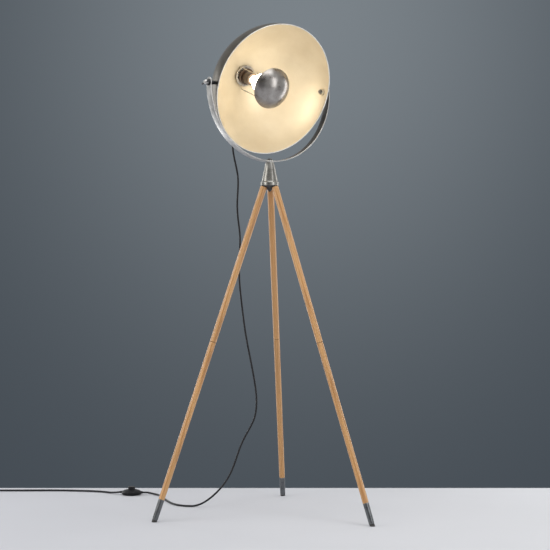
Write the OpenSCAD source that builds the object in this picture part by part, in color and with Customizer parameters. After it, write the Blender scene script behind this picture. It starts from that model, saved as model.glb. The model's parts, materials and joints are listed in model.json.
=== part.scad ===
// Tripod floor lamp: a dished metal shade held in a yoke on three turned wooden legs.
// Origin: floor level on the tripod's axis. +Z up, back leg towards +Y, front towards -Y.
// All lengths are in millimetres and all angles in degrees.

/* [Tripod] */
// Distance of each foot's centre from the tripod's axis, at floor level
foot_circle_r = 367; // [330:1:400]
// Distance of each leg's centre line from the tripod's axis, where it meets the hub
leg_top_r = 20.3; // [19.5:0.1:21.5]
// Height at which the legs meet the underside of the hub
leg_top_z = 985; // [960:1:1000]
// Leg radius at the hub
leg_r_top = 10.2; // [9.8:0.1:10.4]
// Leg radius at the screwed joint halfway down
leg_r_mid = 9.6; // [9.2:0.1:10]
// Leg radius just above the metal foot
leg_r_low = 8.9; // [8.6:0.1:9.2]
// Position of the screwed joint along the leg, from the floor
leg_joint_t = 552; // [500:1:600]
// Position of the top of the metal foot along the leg, from the floor
ferrule_top_t = 68; // [60:1:80]

/* [Yoke] */
// Radius of the yoke's bend at the middle of the strip's thickness
yoke_r = 215; // [212:0.5:220]
// Width of the steel strip
yoke_w = 25; // [20:1:30]
// Thickness of the steel strip
yoke_t = 3; // [2.5:0.1:3.5]
// Length of the straight ends below the pivot
yoke_drop = 8; // [4:1:12]

/* [Shade] */
// Outer radius of the shade at its rim
shade_r = 200; // [196:1:202]
// Depth of the shade from rim to pole
shade_depth = 180; // [174:1:184]
// Thickness of the spun sheet
shade_wall = 0.9; // [0.8:0.1:1.2]
// How far the rim lies in front of the pivot
rim_ahead = 26; // [22:1:30]
// How far the lamp faces below the horizontal
tilt_down = 20.5; // [10:0.5:30]
// Direction that the lamp faces, turned from -Y towards +X
facing = 41; // [30:1:50]

/* [Anti-glare bowl] */
// Rim radius of the small bowl in front of the bulb
bowl_r = 62; // [58:1:66]
// Depth of the bowl
bowl_depth = 34; // [30:1:38]
// How far the bowl's rim lies in front of the pivot
bowl_ahead = 12; // [9:1:15]

/* [Cord] */
// Diameter of the round flex
cord_d = 6; // [5:0.5:6]

/* [Hidden] */
$fn = 64;

// Clearances: a shaft that turns, a screw in its thread, and flat faces that slide.
run_play = 0.08;
thread_play = 0.05;
face_play = 0.1;

// Legs: a leg's own axis runs from the floor (t = 0) to the hub (t = leg_top_t).
leg_lean = atan((foot_circle_r - leg_top_r) / leg_top_z);
leg_top_t = leg_top_z / cos(leg_lean);
stud_r = 4;
stud_grip = 20;
stud_hole = stud_grip + 2;
joint_washer_t = 1;
pad_face_t = 6;
pad_r = 7.6;
tenon_r = 6.5;
tenon_base_t = 28;

// Hub heights, from the underside upwards.
band_z = leg_top_z + 4.5;
band_top_z = leg_top_z + 15;
hub_top_z = leg_top_z + 75;
core_top_z = leg_top_z + 50;
core_bore_z = leg_top_z + 25;
bolt_end_z = leg_top_z + 27;
band_r = 28;
neck_r = 13;
swivel_r = 5;
slide_washer_t = 1.4;
spring_washer_t = 1.5;
yoke_seat_z = hub_top_z + slide_washer_t + face_play;
seat_pad_r = 12;
seat_pad_t = yoke_t + 0.6;

// The pivot axis of the head crosses the tripod's axis at this height.
pivot_z = yoke_seat_z + yoke_r + yoke_t / 2 + yoke_drop;
pivot_r = 3;
yoke_inner_x = yoke_r - yoke_t / 2;
yoke_outer_x = yoke_r + yoke_t / 2;
yoke_end_rise = 3;

// Shade: a superellipse turned about the facing axis, with a flat seat at its pole.
shade_power = 1.8;
seat_r = 14;
rim_bead_r = 1.6;
meridian_steps = 26;
function shade_seat_angle(r) = asin(pow(seat_r / r, shade_power / 2));
function shade_point(u, r, depth) =
    [r * pow(sin(u), 2 / shade_power), rim_ahead - depth * pow(cos(u), 2 / shade_power)];
function shade_meridian(r, depth) =
    let (u0 = shade_seat_angle(r))
    [for (i = [0 : meridian_steps]) shade_point(u0 + (90 - u0) * i / meridian_steps, r, depth)];
seat_s = shade_point(shade_seat_angle(shade_r), shade_r, shade_depth)[1];
// Inside radius of the shade at a distance s along the facing axis.
function shade_inner_r(s) =
    let (c = pow((rim_ahead - s) / (shade_depth - shade_wall), shade_power / 2))
    (shade_r - shade_wall) * pow(1 - c * c, 1 / shade_power) - 0.1;
inner_seat_s = seat_s + shade_wall;

// Pivot hardware, outwards from the tripod's axis along the pivot.
pivot_nut_x = 184;
pivot_washer_x = 189;
saddle_x = 190.6;
saddle_r = 10;
spacer_r = 5.5;
knob_washer_t = 3;
knob_boss_x = yoke_outer_x + face_play + knob_washer_t;
knob_boss_len = 13;
knob_bar_r = 3;
knob_bar_len = 46;
knob_bar_angle = 30;

// Lamp holder and bulb: distances along the facing axis, measured from the pivot.
nipple_r = 5;
nipple_back = 12;
gland_len = 38;
hex_nut_h = 4;
holder_flange_s = inner_seat_s + 9;
cage_plate_t = 1.5;
holder_ring_s = holder_flange_s + cage_plate_t;
holder_ring_len = 10;
holder_front_s = holder_flange_s + 46;
holder_floor_s = holder_flange_s + 16;
bulb_cap_s = holder_floor_s + 9;
bulb_neck_s = bulb_cap_s + 22;
bulb_r = 30;
bulb_neck_r = 12.2;
bulb_centre_s = bulb_neck_s + 51;
glass_wall = 0.8;
bulb_swing = 125;

// Cage that carries the bowl: three bent wires on a plate behind the holder's ring.
cage_plate_r = 33;
wire_r = 1.4;
wire_run_r = 42;
wire_bend_r = 6;
wire_root_r = 27.5;
wire_s = holder_flange_s + cage_plate_t + wire_r;
bowl_wall = 1;
bowl_sphere_r = (bowl_r * bowl_r + bowl_depth * bowl_depth) / (2 * bowl_depth);
bowl_centre_s = bowl_ahead + bowl_depth - bowl_sphere_r;
wire_end_s = bowl_centre_s + sqrt(pow(bowl_sphere_r - bowl_wall, 2) - pow(wire_run_r, 2)) - 1;

// Foot switch on the floor, with the flex running through it along X.
switch_x = -495;
switch_y = 330;
switch_axis_z = 8;
bushing_tip = 38;
bushing_r = 4.5;
bushing_root = 25;
case_seam_z = 6.5;
case_screw_y = 22;
button_top_z = 27;
button_r = 11.6;
button_flange_r = 13.6;
button_bore_r = 9;

// Cord route: where it isn't coiled, these points are set by hand.
cord_r = cord_d / 2;
gland_tip_s = seat_s - gland_len;
head_back = [-sin(facing) * cos(tilt_down), cos(facing) * cos(tilt_down), sin(tilt_down)];
gland_tip = [0, 0, pivot_z] + head_back * abs(gland_tip_s);
upper_route = [
    gland_tip, gland_tip + head_back * 10, [-133, 152.5, 1357.5], [-141, 162, 1352],
    [-146, 168, 1341], [-147.5, 169.5, 1328], [-147.5, 169.5, 1312], [-146, 168, 1290],
    [-144, 165, 1250], [-142, 162, 1210], [-138, 158, 1160]
];
lower_route = [
    [-138, 158, 1160 - 2 * face_play], [-134, 154, 1110], [-126, 150, 1070], [-118, 147, 1030],
    [-119, 144, 950], [-117, 143, 900], [-111, 142, 850], [-113, 142, 740], [-103, 142, 615],
    [-93, 142, 540], [-65, 144, 390], [-59, 145, 310], [-65, 145, 275], [-81, 144, 240],
    [-102, 140, 200], [-131, 133, 120], [-151, 128, 80], [-198, 116, 28], [-226, 107, 10],
    [-252, 101, 3], [-280, 103, 3], [-308, 122, 3], [-338, 168, 3], [-364, 226, 3],
    [-381, 268, 3], [-392, 294, 3], [-406, 319, 3], [-424, 332, 4], [-441, 333, 7],
    [switch_x + bushing_tip, switch_y, switch_axis_z]
];
coil_centre = [-982, 320];
coil_mean_r = 30;
lead_route = [
    [switch_x - bushing_tip, switch_y, switch_axis_z], [-548, 334, 6], [-572, 350, 3],
    [-615, 368, 3], [-675, 376, 3], [-745, 377, 3], [-815, 370, 3], [-880, 361, 3],
    [-935, 355, 3], [-982, 353, 3]
];
tail_route = [[-1015, 320, 9], [-1015, 305, 8], [-1015, 290, 7]];

// Flat two-pin plug lying beside the coil, with its pins towards -Y.
plug_x = -1015;
plug_relief_y = 290;
plug_back_y = 272;
plug_face_y = 237;
plug_t = 14;
plug_half_w = 17.5;
pin_r = 2;
pin_len = 19;
pin_gap = 18.6;
pin_root_r = 1.6;
pin_root_len = 10;
pin_dish = 0.4;

// Colours
wood = "#c99a5e";
nickel = "#9b9890";
gunmetal = "#5d5a55";
steel = "#b8b8b8";
black = "#222226";
brass = "#b59a55";

// Places a shape in a leg's own frame: +Z up along the leg, the floor at z = 0.
module on_leg(turn) {
    rotate([0, 0, turn])
    translate([0, foot_circle_r, 0])
    rotate([leg_lean, 0, 0])
    children();
}

// Places a shape in the head's frame: X along the pivot, Y up, Z the facing direction.
module on_head() {
    translate([0, 0, pivot_z])
    rotate([90 + tilt_down, 0, facing])
    children();
}

// Places a shape along the pivot axis: +Z runs outwards, side is 1 or -1.
module along_pivot(side) {
    on_head()
    rotate([0, side * 90, 0])
    children();
}

// A ring or tube from z0 to z1.
module tube(outer, inner, z0, z1) {
    difference() {
        translate([0, 0, z0])
        cylinder(r = outer, h = z1 - z0);
        translate([0, 0, z0 - 1])
        cylinder(r = inner, h = z1 - z0 + 2);
    }
}

// A six-sided nut from z0 to z1.
module hex_nut(flats, inner, z0, z1) {
    difference() {
        translate([0, 0, z0])
        cylinder(d = flats / cos(30), h = z1 - z0, $fn = 6);
        translate([0, 0, z0 - 1])
        cylinder(r = inner, h = z1 - z0 + 2);
    }
}

// Smooth curve through a route's points, with a middle point between each two.
function middle(p, i) =
    let (before = p[max(i - 1, 0)], after = p[min(i + 2, len(p) - 1)])
    (9 * (p[i] + p[i + 1]) - before - after) / 16;
function smooth(p) = [
    for (i = [0 : len(p) - 2]) each [p[i], middle(p, i)],
    p[len(p) - 1]
];
function unit(v) = v / norm(v);
function tangents(p) = [
    for (i = [0 : len(p) - 1]) unit(p[min(i + 1, len(p) - 1)] - p[max(i - 1, 0)])
];
function across(v, t) = unit(v - (v * t) * t);
// The side direction of each ring is carried along the route without twisting.
function sides_of(t) = [
    for (i = 0, v = across([0.3, 1, 0.2], t[0]); i < len(t);
         i = i + 1, v = i < len(t) ? across(v, t[i]) : v) v
];
function ring_points(p, t, side, radius, n) = [
    for (i = [0 : len(p) - 1], k = [0 : n - 1])
        p[i] + radius * (cos(360 * k / n) * side[i] + sin(360 * k / n) * cross(t[i], side[i]))
];

// A round cord or wire: one closed tube swept along a list of points.
module swept_tube(p, radius, n) {
    t = tangents(p);
    last = (len(p) - 1) * n;
    polyhedron(
        points = ring_points(p, t, sides_of(t), radius, n),
        faces = [
            [for (k = [0 : n - 1]) k],
            [for (k = [0 : n - 1]) last + n - 1 - k],
            for (i = [0 : len(p) - 2], k = [0 : n - 1])
                [i * n + k, (i + 1) * n + k, (i + 1) * n + (k + 1) % n, i * n + (k + 1) % n]
        ]
    );
}

// ---- Tripod ----

module hub_cone() {
    color(nickel)
    rotate_extrude()
    polygon([
        [swivel_r + thread_play, hub_top_z], [neck_r - 0.8, hub_top_z], [neck_r, hub_top_z - 0.8],
        [band_r - 2.5, band_top_z + 1], [band_r - 0.6, band_top_z], [band_r, band_top_z - 1],
        [band_r, band_z + 0.6], [band_r - 0.6, band_z], [band_r - 1.4, band_z],
        [band_r - 1.4, band_top_z - 0.6], [band_r - 4, band_top_z + 1.6],
        [neck_r - 1.5, hub_top_z - 2], [swivel_r + thread_play, hub_top_z - 2]
    ]);
}

// Three leg sockets in a black core: the legs butt against it and their studs screw in.
module hub_core() {
    core_r = band_r - 1.6;
    color(black)
    difference() {
        rotate_extrude()
        polygon([
            [0, leg_top_z - 14], [1.5, leg_top_z - 13.8], [13, leg_top_z - 1],
            [24, leg_top_z + 1], [core_r, band_z - 0.5], [core_r, band_top_z - 1.5],
            [band_r - 4.4, band_top_z + 1.6], [neck_r + 2.8, core_top_z],
            [swivel_r + thread_play, core_top_z], [swivel_r + thread_play, core_bore_z],
            [0, core_bore_z]
        ]);
        for (turn = [0 : 120 : 240])
            on_leg(turn) {
                translate([0, 0, leg_top_t - 40])
                cylinder(r = leg_r_top + 0.3, h = 40);
                translate([0, 0, leg_top_t - 1])
                cylinder(r = stud_r + thread_play, h = stud_hole + 1);
            }
    }
}

module leg_top_studs() {
    color(steel)
    for (turn = [0 : 120 : 240])
        on_leg(turn)
        translate([0, 0, leg_top_t - stud_grip])
        cylinder(r = stud_r, h = 2 * stud_grip);
}

module leg_joint_studs() {
    color(steel)
    for (turn = [0 : 120 : 240])
        on_leg(turn)
        translate([0, 0, leg_joint_t - stud_grip])
        cylinder(r = stud_r, h = 2 * stud_grip);
}

module leg_joint_washers() {
    color(black)
    for (turn = [0 : 120 : 240])
        on_leg(turn)
        tube(leg_r_mid - 0.5, stud_r + thread_play,
             leg_joint_t - joint_washer_t / 2, leg_joint_t + joint_washer_t / 2);
}

module leg_upper(turn) {
    low_t = leg_joint_t + joint_washer_t / 2;
    color(wood)
    on_leg(turn)
    difference() {
        translate([0, 0, low_t])
        cylinder(r1 = leg_r_mid, r2 = leg_r_top, h = leg_top_t - low_t);
        translate([0, 0, low_t - 1])
        cylinder(r = stud_r + thread_play, h = stud_hole + 1);
        translate([0, 0, leg_top_t - stud_hole])
        cylinder(r = stud_r + thread_play, h = stud_hole + 1);
    }
}

// The lower half ends in a thinner tenon that is glued into the metal foot.
module leg_lower(turn) {
    high_t = leg_joint_t - joint_washer_t / 2;
    color(wood)
    on_leg(turn)
    difference() {
        union() {
            translate([0, 0, ferrule_top_t])
            cylinder(r1 = leg_r_low, r2 = leg_r_mid, h = high_t - ferrule_top_t);
            translate([0, 0, tenon_base_t])
            cylinder(r = tenon_r, h = ferrule_top_t - tenon_base_t + 1);
        }
        translate([0, 0, high_t - stud_hole])
        cylinder(r = stud_r + thread_play, h = stud_hole + 1);
    }
}

module foot_ferrule(turn) {
    color(steel)
    on_leg(turn)
    rotate_extrude()
    polygon([
        [stud_r + thread_play, pad_face_t], [7.4, pad_face_t], [8.2, pad_face_t + 2],
        [leg_r_low + 0.1, ferrule_top_t - 1], [leg_r_low - 0.3, ferrule_top_t],
        [tenon_r + thread_play, ferrule_top_t], [tenon_r + thread_play, tenon_base_t - 0.5],
        [stud_r + thread_play, tenon_base_t - 2]
    ]);
}

// A rubber tip with a stem, cut level so that it stands flat on the floor.
module foot_pad(turn) {
    color(black)
    intersection() {
        on_leg(turn)
        union() {
            translate([0, 0, -4])
            cylinder(r = pad_r, h = 4 + pad_face_t);
            cylinder(r = stud_r, h = 18);
        }
        translate([-600, -600, 0])
        cube([1200, 1200, 60]);
    }
}

module swivel_slide_washer() {
    color("ivory")
    tube(11.5, swivel_r + run_play, hub_top_z, hub_top_z + slide_washer_t);
}

module swivel_spring_washer() {
    z0 = yoke_seat_z + seat_pad_t + face_play;
    color(steel)
    tube(8.6, swivel_r + run_play, z0, z0 + spring_washer_t);
}

// Button-head bolt that ties the yoke, the cone and the core together.
module swivel_bolt() {
    z0 = yoke_seat_z + seat_pad_t + face_play + spring_washer_t;
    color(black)
    difference() {
        union() {
            translate([0, 0, bolt_end_z])
            cylinder(r = swivel_r, h = z0 - bolt_end_z + 0.5);
            rotate_extrude()
            polygon([[0, z0], [8, z0], [8, z0 + 1.6], [7, z0 + 3.4], [5, z0 + 4.6], [0, z0 + 5]]);
        }
        translate([0, 0, z0 + 2])
        cylinder(d = 6.9, h = 4, $fn = 6);
    }
}

// ---- Yoke ----

module yoke_band() {
    color(nickel)
    translate([0, 0, pivot_z])
    rotate([0, 0, facing])
    difference() {
        union() {
            translate([0, 0, -yoke_drop])
            rotate([90, 0, 0])
            rotate_extrude(angle = 180, start = 180, $fn = 128)
            translate([yoke_inner_x, -yoke_w / 2])
            square([yoke_t, yoke_w]);
            for (side = [-1, 1]) {
                translate([side * yoke_r - yoke_t / 2, -yoke_w / 2, -yoke_drop])
                cube([yoke_t, yoke_w, yoke_drop + yoke_end_rise]);
                translate([side * yoke_r - yoke_t / 2, 0, yoke_end_rise])
                rotate([0, 90, 0])
                cylinder(d = yoke_w, h = yoke_t);
            }
            translate([0, 0, yoke_seat_z - pivot_z])
            cylinder(r = seat_pad_r, h = seat_pad_t);
        }
        translate([-300, 0, 0])
        rotate([0, 90, 0])
        cylinder(r = pivot_r + run_play, h = 600);
        translate([0, 0, yoke_seat_z - pivot_z - 2])
        cylinder(r = swivel_r + run_play, h = 10);
    }
}

// ---- Head: shade and pivots ----

// The space inside a shade of the given size, as a solid.
module shade_envelope(r, depth) {
    profile = shade_meridian(r, depth);
    rotate_extrude($fn = 128)
    polygon(concat([[0, profile[0][1]]], profile, [[0, rim_ahead]]));
}

module shade_dome() {
    outer = shade_meridian(shade_r, shade_depth);
    inner = shade_meridian(shade_r - shade_wall, shade_depth - shade_wall);
    inner_back = [for (i = [len(inner) - 1 : -1 : 0]) inner[i]];
    color(gunmetal)
    on_head()
    difference() {
        union() {
            rotate_extrude($fn = 128)
            polygon(concat(
                [[nipple_r + thread_play, outer[0][1]]], outer,
                inner_back, [[nipple_r + thread_play, inner[0][1]]]
            ));
            rotate_extrude($fn = 128)
            translate([shade_r - rim_bead_r + 0.4, rim_ahead])
            circle(r = rim_bead_r, $fn = 24);
        }
        translate([-220, 0, 0])
        rotate([0, 90, 0])
        cylinder(r = pivot_r + thread_play, h = 440);
    }
}

// Short dark tubes that hold the yoke's arms clear of the curved shade.
module pivot_spacers() {
    color(black)
    for (side = [-1, 1])
        difference() {
            along_pivot(side)
            tube(spacer_r, pivot_r + thread_play, saddle_x, yoke_inner_x - face_play);
            on_head()
            shade_envelope(shade_r + 0.02, shade_depth + 0.02);
        }
}

// Pads with a sloping outer face, so that the nuts sit square on the slanted shade.
module pivot_saddles() {
    reach = saddle_r + 2;
    color("#d8ceb8")
    for (side = [-1, 1])
        intersection() {
            along_pivot(side)
            tube(saddle_r, pivot_r + thread_play, saddle_x, shade_r);
            on_head()
            translate([0, 0, -reach])
            cylinder(
                r1 = shade_inner_r(-reach), r2 = shade_inner_r(reach), h = 2 * reach, $fn = 256
            );
        }
}

module pivot_washers() {
    color(steel)
    for (side = [-1, 1])
        along_pivot(side)
        tube(8, pivot_r + thread_play, pivot_washer_x, saddle_x);
}

module pivot_nuts() {
    color(steel)
    for (side = [-1, 1])
        along_pivot(side)
        hex_nut(10, pivot_r + thread_play, pivot_nut_x, pivot_washer_x);
}

// Plain pivot on the far side from the knob.
module pivot_bolt() {
    x0 = yoke_outer_x + face_play;
    color(steel)
    along_pivot(1)
    union() {
        translate([0, 0, pivot_nut_x - 2])
        cylinder(r = pivot_r, h = x0 - pivot_nut_x + 3);
        rotate_extrude()
        polygon([[0, x0], [6.5, x0], [6.5, x0 + 1.2], [5.6, x0 + 3.2], [3.6, x0 + 4.4], [0, x0 + 4.8]]);
    }
}

// ---- Tilt knob ----

module knob_washer() {
    color(black)
    along_pivot(-1)
    tube(10, pivot_r + thread_play, yoke_outer_x + face_play, knob_boss_x);
}

// Clamping screw with a round boss that is drilled across for the bar.
module knob_screw() {
    color(steel)
    along_pivot(-1)
    difference() {
        union() {
            translate([0, 0, pivot_nut_x - 2])
            cylinder(r = pivot_r, h = knob_boss_x - pivot_nut_x + 3);
            rotate_extrude()
            polygon([
                [0, knob_boss_x], [6.4, knob_boss_x], [6.8, knob_boss_x + 2],
                [6.8, knob_boss_x + 9], [5, knob_boss_x + 12], [0, knob_boss_x + knob_boss_len]
            ]);
        }
        translate([0, 0, knob_boss_x + 6])
        rotate([0, 0, knob_bar_angle])
        rotate([0, 90, 0])
        cylinder(r = knob_bar_r + thread_play, h = 30, center = true);
    }
}

module knob_bar() {
    color(black)
    along_pivot(-1)
    translate([0, 0, knob_boss_x + 6])
    rotate([0, 0, knob_bar_angle])
    rotate([0, 90, 0])
    rotate_extrude()
    polygon(concat(
        [for (a = [-90 : 15 : 0]) [knob_bar_r * cos(a), -knob_bar_len / 2 + knob_bar_r * (1 + sin(a))]],
        [for (a = [0 : 15 : 90]) [knob_bar_r * cos(a), knob_bar_len / 2 - knob_bar_r * (1 - sin(a))]]
    ));
}

// ---- Lamp holder ----

// Threaded tube through the shade's pole; the flex runs inside it.
module nipple() {
    color(steel)
    on_head()
    tube(nipple_r, cord_r + 0.2, seat_s - nipple_back, inner_seat_s + 7);
}

module nipple_nuts() {
    color(steel)
    on_head()
    hex_nut(15, nipple_r + thread_play, seat_s - hex_nut_h, seat_s);
}

// Strain relief: a screwed collar with a tapered rubber sleeve for the flex.
module cord_gland() {
    s0 = seat_s - hex_nut_h;
    step_s = seat_s - nipple_back - 0.1;
    color(black)
    on_head()
    rotate_extrude()
    polygon([
        [nipple_r + thread_play, s0], [8.4, s0], [9, s0 - 1], [9, s0 - 9], [7.8, s0 - 11],
        [5.8, s0 - 12], [cord_r + 1, gland_tip_s], [cord_r + 0.05, gland_tip_s],
        [cord_r + 0.05, step_s], [nipple_r + thread_play, step_s]
    ]);
}

module holder_cap() {
    color("#3a2a20")
    on_head()
    rotate_extrude()
    polygon([
        [nipple_r + thread_play, inner_seat_s], [12, inner_seat_s], [20, inner_seat_s + 4],
        [23, inner_seat_s + 6], [23, holder_flange_s], [20.1, holder_flange_s],
        [17, holder_flange_s - 2], [17, inner_seat_s + 5], [nipple_r + thread_play, inner_seat_s + 3]
    ]);
}

module holder_body() {
    color("#3a2a20")
    on_head()
    rotate_extrude()
    polygon([
        [17, holder_flange_s], [20, holder_flange_s], [20, holder_front_s - 1.5],
        [18.5, holder_front_s], [14, holder_front_s], [14, holder_floor_s + 3],
        [2, holder_floor_s + 3], [2, holder_floor_s], [17, holder_floor_s]
    ]);
}

module holder_ring() {
    s0 = holder_ring_s;
    color("#3a2a20")
    on_head()
    rotate_extrude()
    polygon([
        [20.05, s0], [25.5, s0], [26, s0 + 0.6], [26, s0 + holder_ring_len - 2],
        [24, s0 + holder_ring_len], [20.05, s0 + holder_ring_len]
    ]);
}

// Threaded brass sleeve that takes the bulb.
module holder_shell() {
    color(brass)
    on_head()
    tube(13.95, 13.35, holder_floor_s + 3, holder_front_s - 2);
}

module holder_contact() {
    s0 = holder_floor_s + 3;
    color(brass)
    on_head()
    rotate_extrude()
    polygon([
        [0, s0], [6, s0], [6, s0 + 0.6], [2.4, s0 + 0.6],
        [2.4, bulb_cap_s - 3.1], [0, bulb_cap_s - 3.1]
    ]);
}

// ---- Bulb ----

module bulb_cap() {
    color(steel)
    on_head()
    rotate_extrude()
    polygon([
        [8, bulb_cap_s], [11, bulb_cap_s], [13.2, bulb_cap_s + 2], [13.2, bulb_neck_s],
        [12.7, bulb_neck_s], [12.7, bulb_cap_s + 2.3], [10.8, bulb_cap_s + 0.6], [8, bulb_cap_s + 0.6]
    ]);
}

module bulb_contact() {
    color("#2c2c30")
    on_head()
    rotate_extrude()
    polygon([
        [0, bulb_cap_s - 3], [3.4, bulb_cap_s - 3], [4, bulb_cap_s - 2.2], [7.9, bulb_cap_s],
        [7.9, bulb_cap_s + 1.5], [0, bulb_cap_s + 1.5]
    ]);
}

// Pear outline: a round head that sweeps into the neck along a cubic curve.
function bezier(a, b, c, d, f) =
    pow(1 - f, 3) * a + 3 * pow(1 - f, 2) * f * b + 3 * (1 - f) * f * f * c + pow(f, 3) * d;
function bulb_outline(r, neck_r) =
    let (
        tip_end = [r * sin(bulb_swing), bulb_centre_s + r * cos(bulb_swing)],
        lean = [cos(bulb_swing), -sin(bulb_swing)],
        foot = [neck_r, bulb_neck_s - 4]
    )
    [
        for (a = [0 : 10 : bulb_swing - 5]) [r * sin(a), bulb_centre_s + r * cos(a)],
        for (f = [0 : 0.125 : 1])
            bezier(tip_end, tip_end + 13 * lean, foot + [0, 16], foot, f)
    ];

module bulb_glass() {
    outer = bulb_outline(bulb_r, bulb_neck_r);
    inner = bulb_outline(bulb_r - glass_wall, bulb_neck_r - glass_wall);
    color("white", 0.6)
    on_head()
    rotate_extrude()
    polygon(concat(outer, [for (i = [len(inner) - 1 : -1 : 0]) inner[i]]));
}

// Glass foot with two posts that hold a ring of fine coiled wire.
module bulb_mount() {
    post_s = bulb_neck_s + 18;
    ring_s = bulb_neck_s + 38;
    ring_r = 9;
    color("white", 0.6)
    on_head()
    translate([0, 0, bulb_neck_s - 8])
    cylinder(r1 = 6, r2 = 2.2, h = 32);
    color("orange")
    on_head() {
        translate([0, 0, ring_s])
        rotate_extrude(angle = 300)
        translate([ring_r, 0])
        circle(r = 0.6, $fn = 16);
        for (turn = [60, 180])
            rotate([0, 0, turn]) {
                translate([ring_r, 0, post_s])
                cylinder(r = 0.5, h = ring_s - post_s + 0.2);
                translate([1, 0, post_s])
                rotate([0, 90, 0])
                cylinder(r = 0.5, h = ring_r - 0.6);
            }
    }
}

// ---- Cage and bowl ----

module cage_plate() {
    color(gunmetal)
    on_head()
    tube(cage_plate_r, 20.05, holder_flange_s, holder_flange_s + cage_plate_t);
}

// One wire: out along the plate, round a bend, then forward to the bowl.
module cage_wire(turn) {
    bend_s = wire_s + wire_bend_r;
    out_r = wire_run_r - wire_bend_r;
    color(nickel)
    on_head()
    rotate([0, 0, turn])
    union() {
        translate([wire_root_r, 0, wire_s])
        rotate([0, 90, 0])
        cylinder(r = wire_r, h = out_r - wire_root_r);
        translate([out_r, 0, bend_s])
        rotate([-90, 0, 0])
        rotate_extrude(angle = 90)
        translate([wire_bend_r, 0])
        circle(r = wire_r, $fn = 24);
        translate([wire_run_r, 0, bend_s])
        cylinder(r = wire_r, h = wire_end_s - bend_s);
    }
}

module bowl_reflector() {
    half_angle = asin(bowl_r / bowl_sphere_r);
    steps = 16;
    function arc_points(r) = [
        for (i = [0 : steps])
            let (a = half_angle * i / steps)
            [r * sin(a), bowl_centre_s + r * cos(a)]
    ];
    inner = arc_points(bowl_sphere_r - bowl_wall);
    color(gunmetal)
    on_head()
    rotate_extrude($fn = 96)
    polygon(concat(arc_points(bowl_sphere_r), [for (i = [steps : -1 : 0]) inner[i]]));
}

// ---- Cord ----

module cord_upper() {
    color(black)
    swept_tube(upper_route, cord_r, 8);
}

module cord_lower() {
    color(black)
    swept_tube(smooth(lower_route), cord_r, 8);
}

module cord_lead() {
    color(black)
    swept_tube(lead_route, cord_r, 8);
}

module cord_tail() {
    color(black)
    swept_tube(tail_route, cord_r, 8);
}

// Outer shape of the spare flex: two turns wide and two high.
module cord_coil() {
    color(black)
    translate([coil_centre[0], coil_centre[1], 0])
    rotate_extrude()
    translate([coil_mean_r - cord_d, 0])
    square([2 * cord_d, 2 * cord_d]);
}

// ---- Foot switch ----

module on_switch() {
    translate([switch_x, switch_y, 0])
    children();
}

module bushing_holes() {
    translate([-50, 0, switch_axis_z])
    rotate([0, 90, 0])
    cylinder(r = bushing_r + 0.1, h = 100);
}

module switch_base() {
    color(black)
    on_switch()
    difference() {
        rotate_extrude()
        polygon([[0, 0], [27, 0], [30.5, 2], [32.5, 5], [32.5, case_seam_z], [0, case_seam_z]]);
        difference() {
            bushing_holes();
            cylinder(r = 24, h = 30);
        }
        for (side = [-1, 1])
            translate([0, side * case_screw_y, -1]) {
                cylinder(r = 1.6, h = 10);
                cylinder(r = 3.2, h = 3.4);
            }
    }
}

module switch_cover() {
    color(black)
    on_switch()
    difference() {
        union() {
            rotate_extrude()
            polygon([
                [30, case_seam_z + face_play], [32.5, case_seam_z + face_play],
                [32.9, 8], [31.5, 11], [27, 14], [20, 16.4],
                [14, 17.5], [12.4, 17.5], [12.4, 15.5], [19.4, 14.6], [26, 12.3], [30, 9.6]
            ]);
            for (side = [-1, 1])
                translate([0, side * case_screw_y, case_seam_z + face_play])
                cylinder(r = 3.2, h = 8.2);
        }
        bushing_holes();
        for (side = [-1, 1])
            translate([0, side * case_screw_y, 6])
            cylinder(r = 1.55, h = 7);
    }
}

// Two brass terminals with their contact strips, and the two case screws.
module switch_inside() {
    color(brass)
    on_switch() {
        for (side = [-1, 1]) {
            translate([side * 19 - 4, -3.5, case_seam_z])
            cube([8, 7, 5]);
            translate([side * 11 - 5, 4, case_seam_z])
            cube([10, 4, 0.6]);
            translate([0, side * case_screw_y, 0.4])
            union() {
                cylinder(r = 1.5, h = 11.5);
                cylinder(r = 3, h = 2);
            }
        }
    }
}

// Return spring under the button.
module switch_spring() {
    turns = 5;
    steps = 12 * turns;
    color(steel)
    on_switch()
    swept_tube([
        for (i = [0 : steps])
            [5 * cos(30 * i), 5 * sin(30 * i), 7.2 + 11 * i / steps]
    ], 0.5, 6);
}

module switch_bushings() {
    color(black)
    on_switch()
    for (side = [-1, 1])
        translate([0, 0, switch_axis_z])
        rotate([0, side * 90, 0])
        rotate_extrude()
        polygon([
            [cord_r + 0.05, bushing_root], [bushing_r, bushing_root],
            [bushing_r, bushing_root + 8], [cord_r + 0.8, bushing_tip],
            [cord_r + 0.05, bushing_tip]
        ]);
}

// Hollow push button with a flange that holds it under the cover.
module switch_button() {
    color(black)
    on_switch()
    rotate_extrude()
    polygon([
        [0, button_top_z], [button_r - 2.1, button_top_z], [button_r - 0.4, button_top_z - 0.8],
        [button_r, button_top_z - 2.2], [button_r, 15.2], [button_flange_r, 15.2],
        [button_flange_r, 13.4], [button_bore_r, 13.4], [button_bore_r, 18.8], [0, 18.8]
    ]);
}

// ---- Plug ----

// Two pins with thinner roots inside the body, grown by a gap for their holes.
module plug_prongs(grown) {
    for (side = [-1, 1])
        translate([plug_x + side * pin_gap / 2, plug_face_y, plug_t / 2])
        rotate([90, 0, 0])
        rotate_extrude()
        polygon([
            [0, -pin_root_len - grown], [pin_root_r + grown, -pin_root_len - grown],
            [pin_root_r + grown, 0], [pin_r + grown, 0], [pin_r + grown, pin_len], [0, pin_len]
        ]);
}

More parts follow.
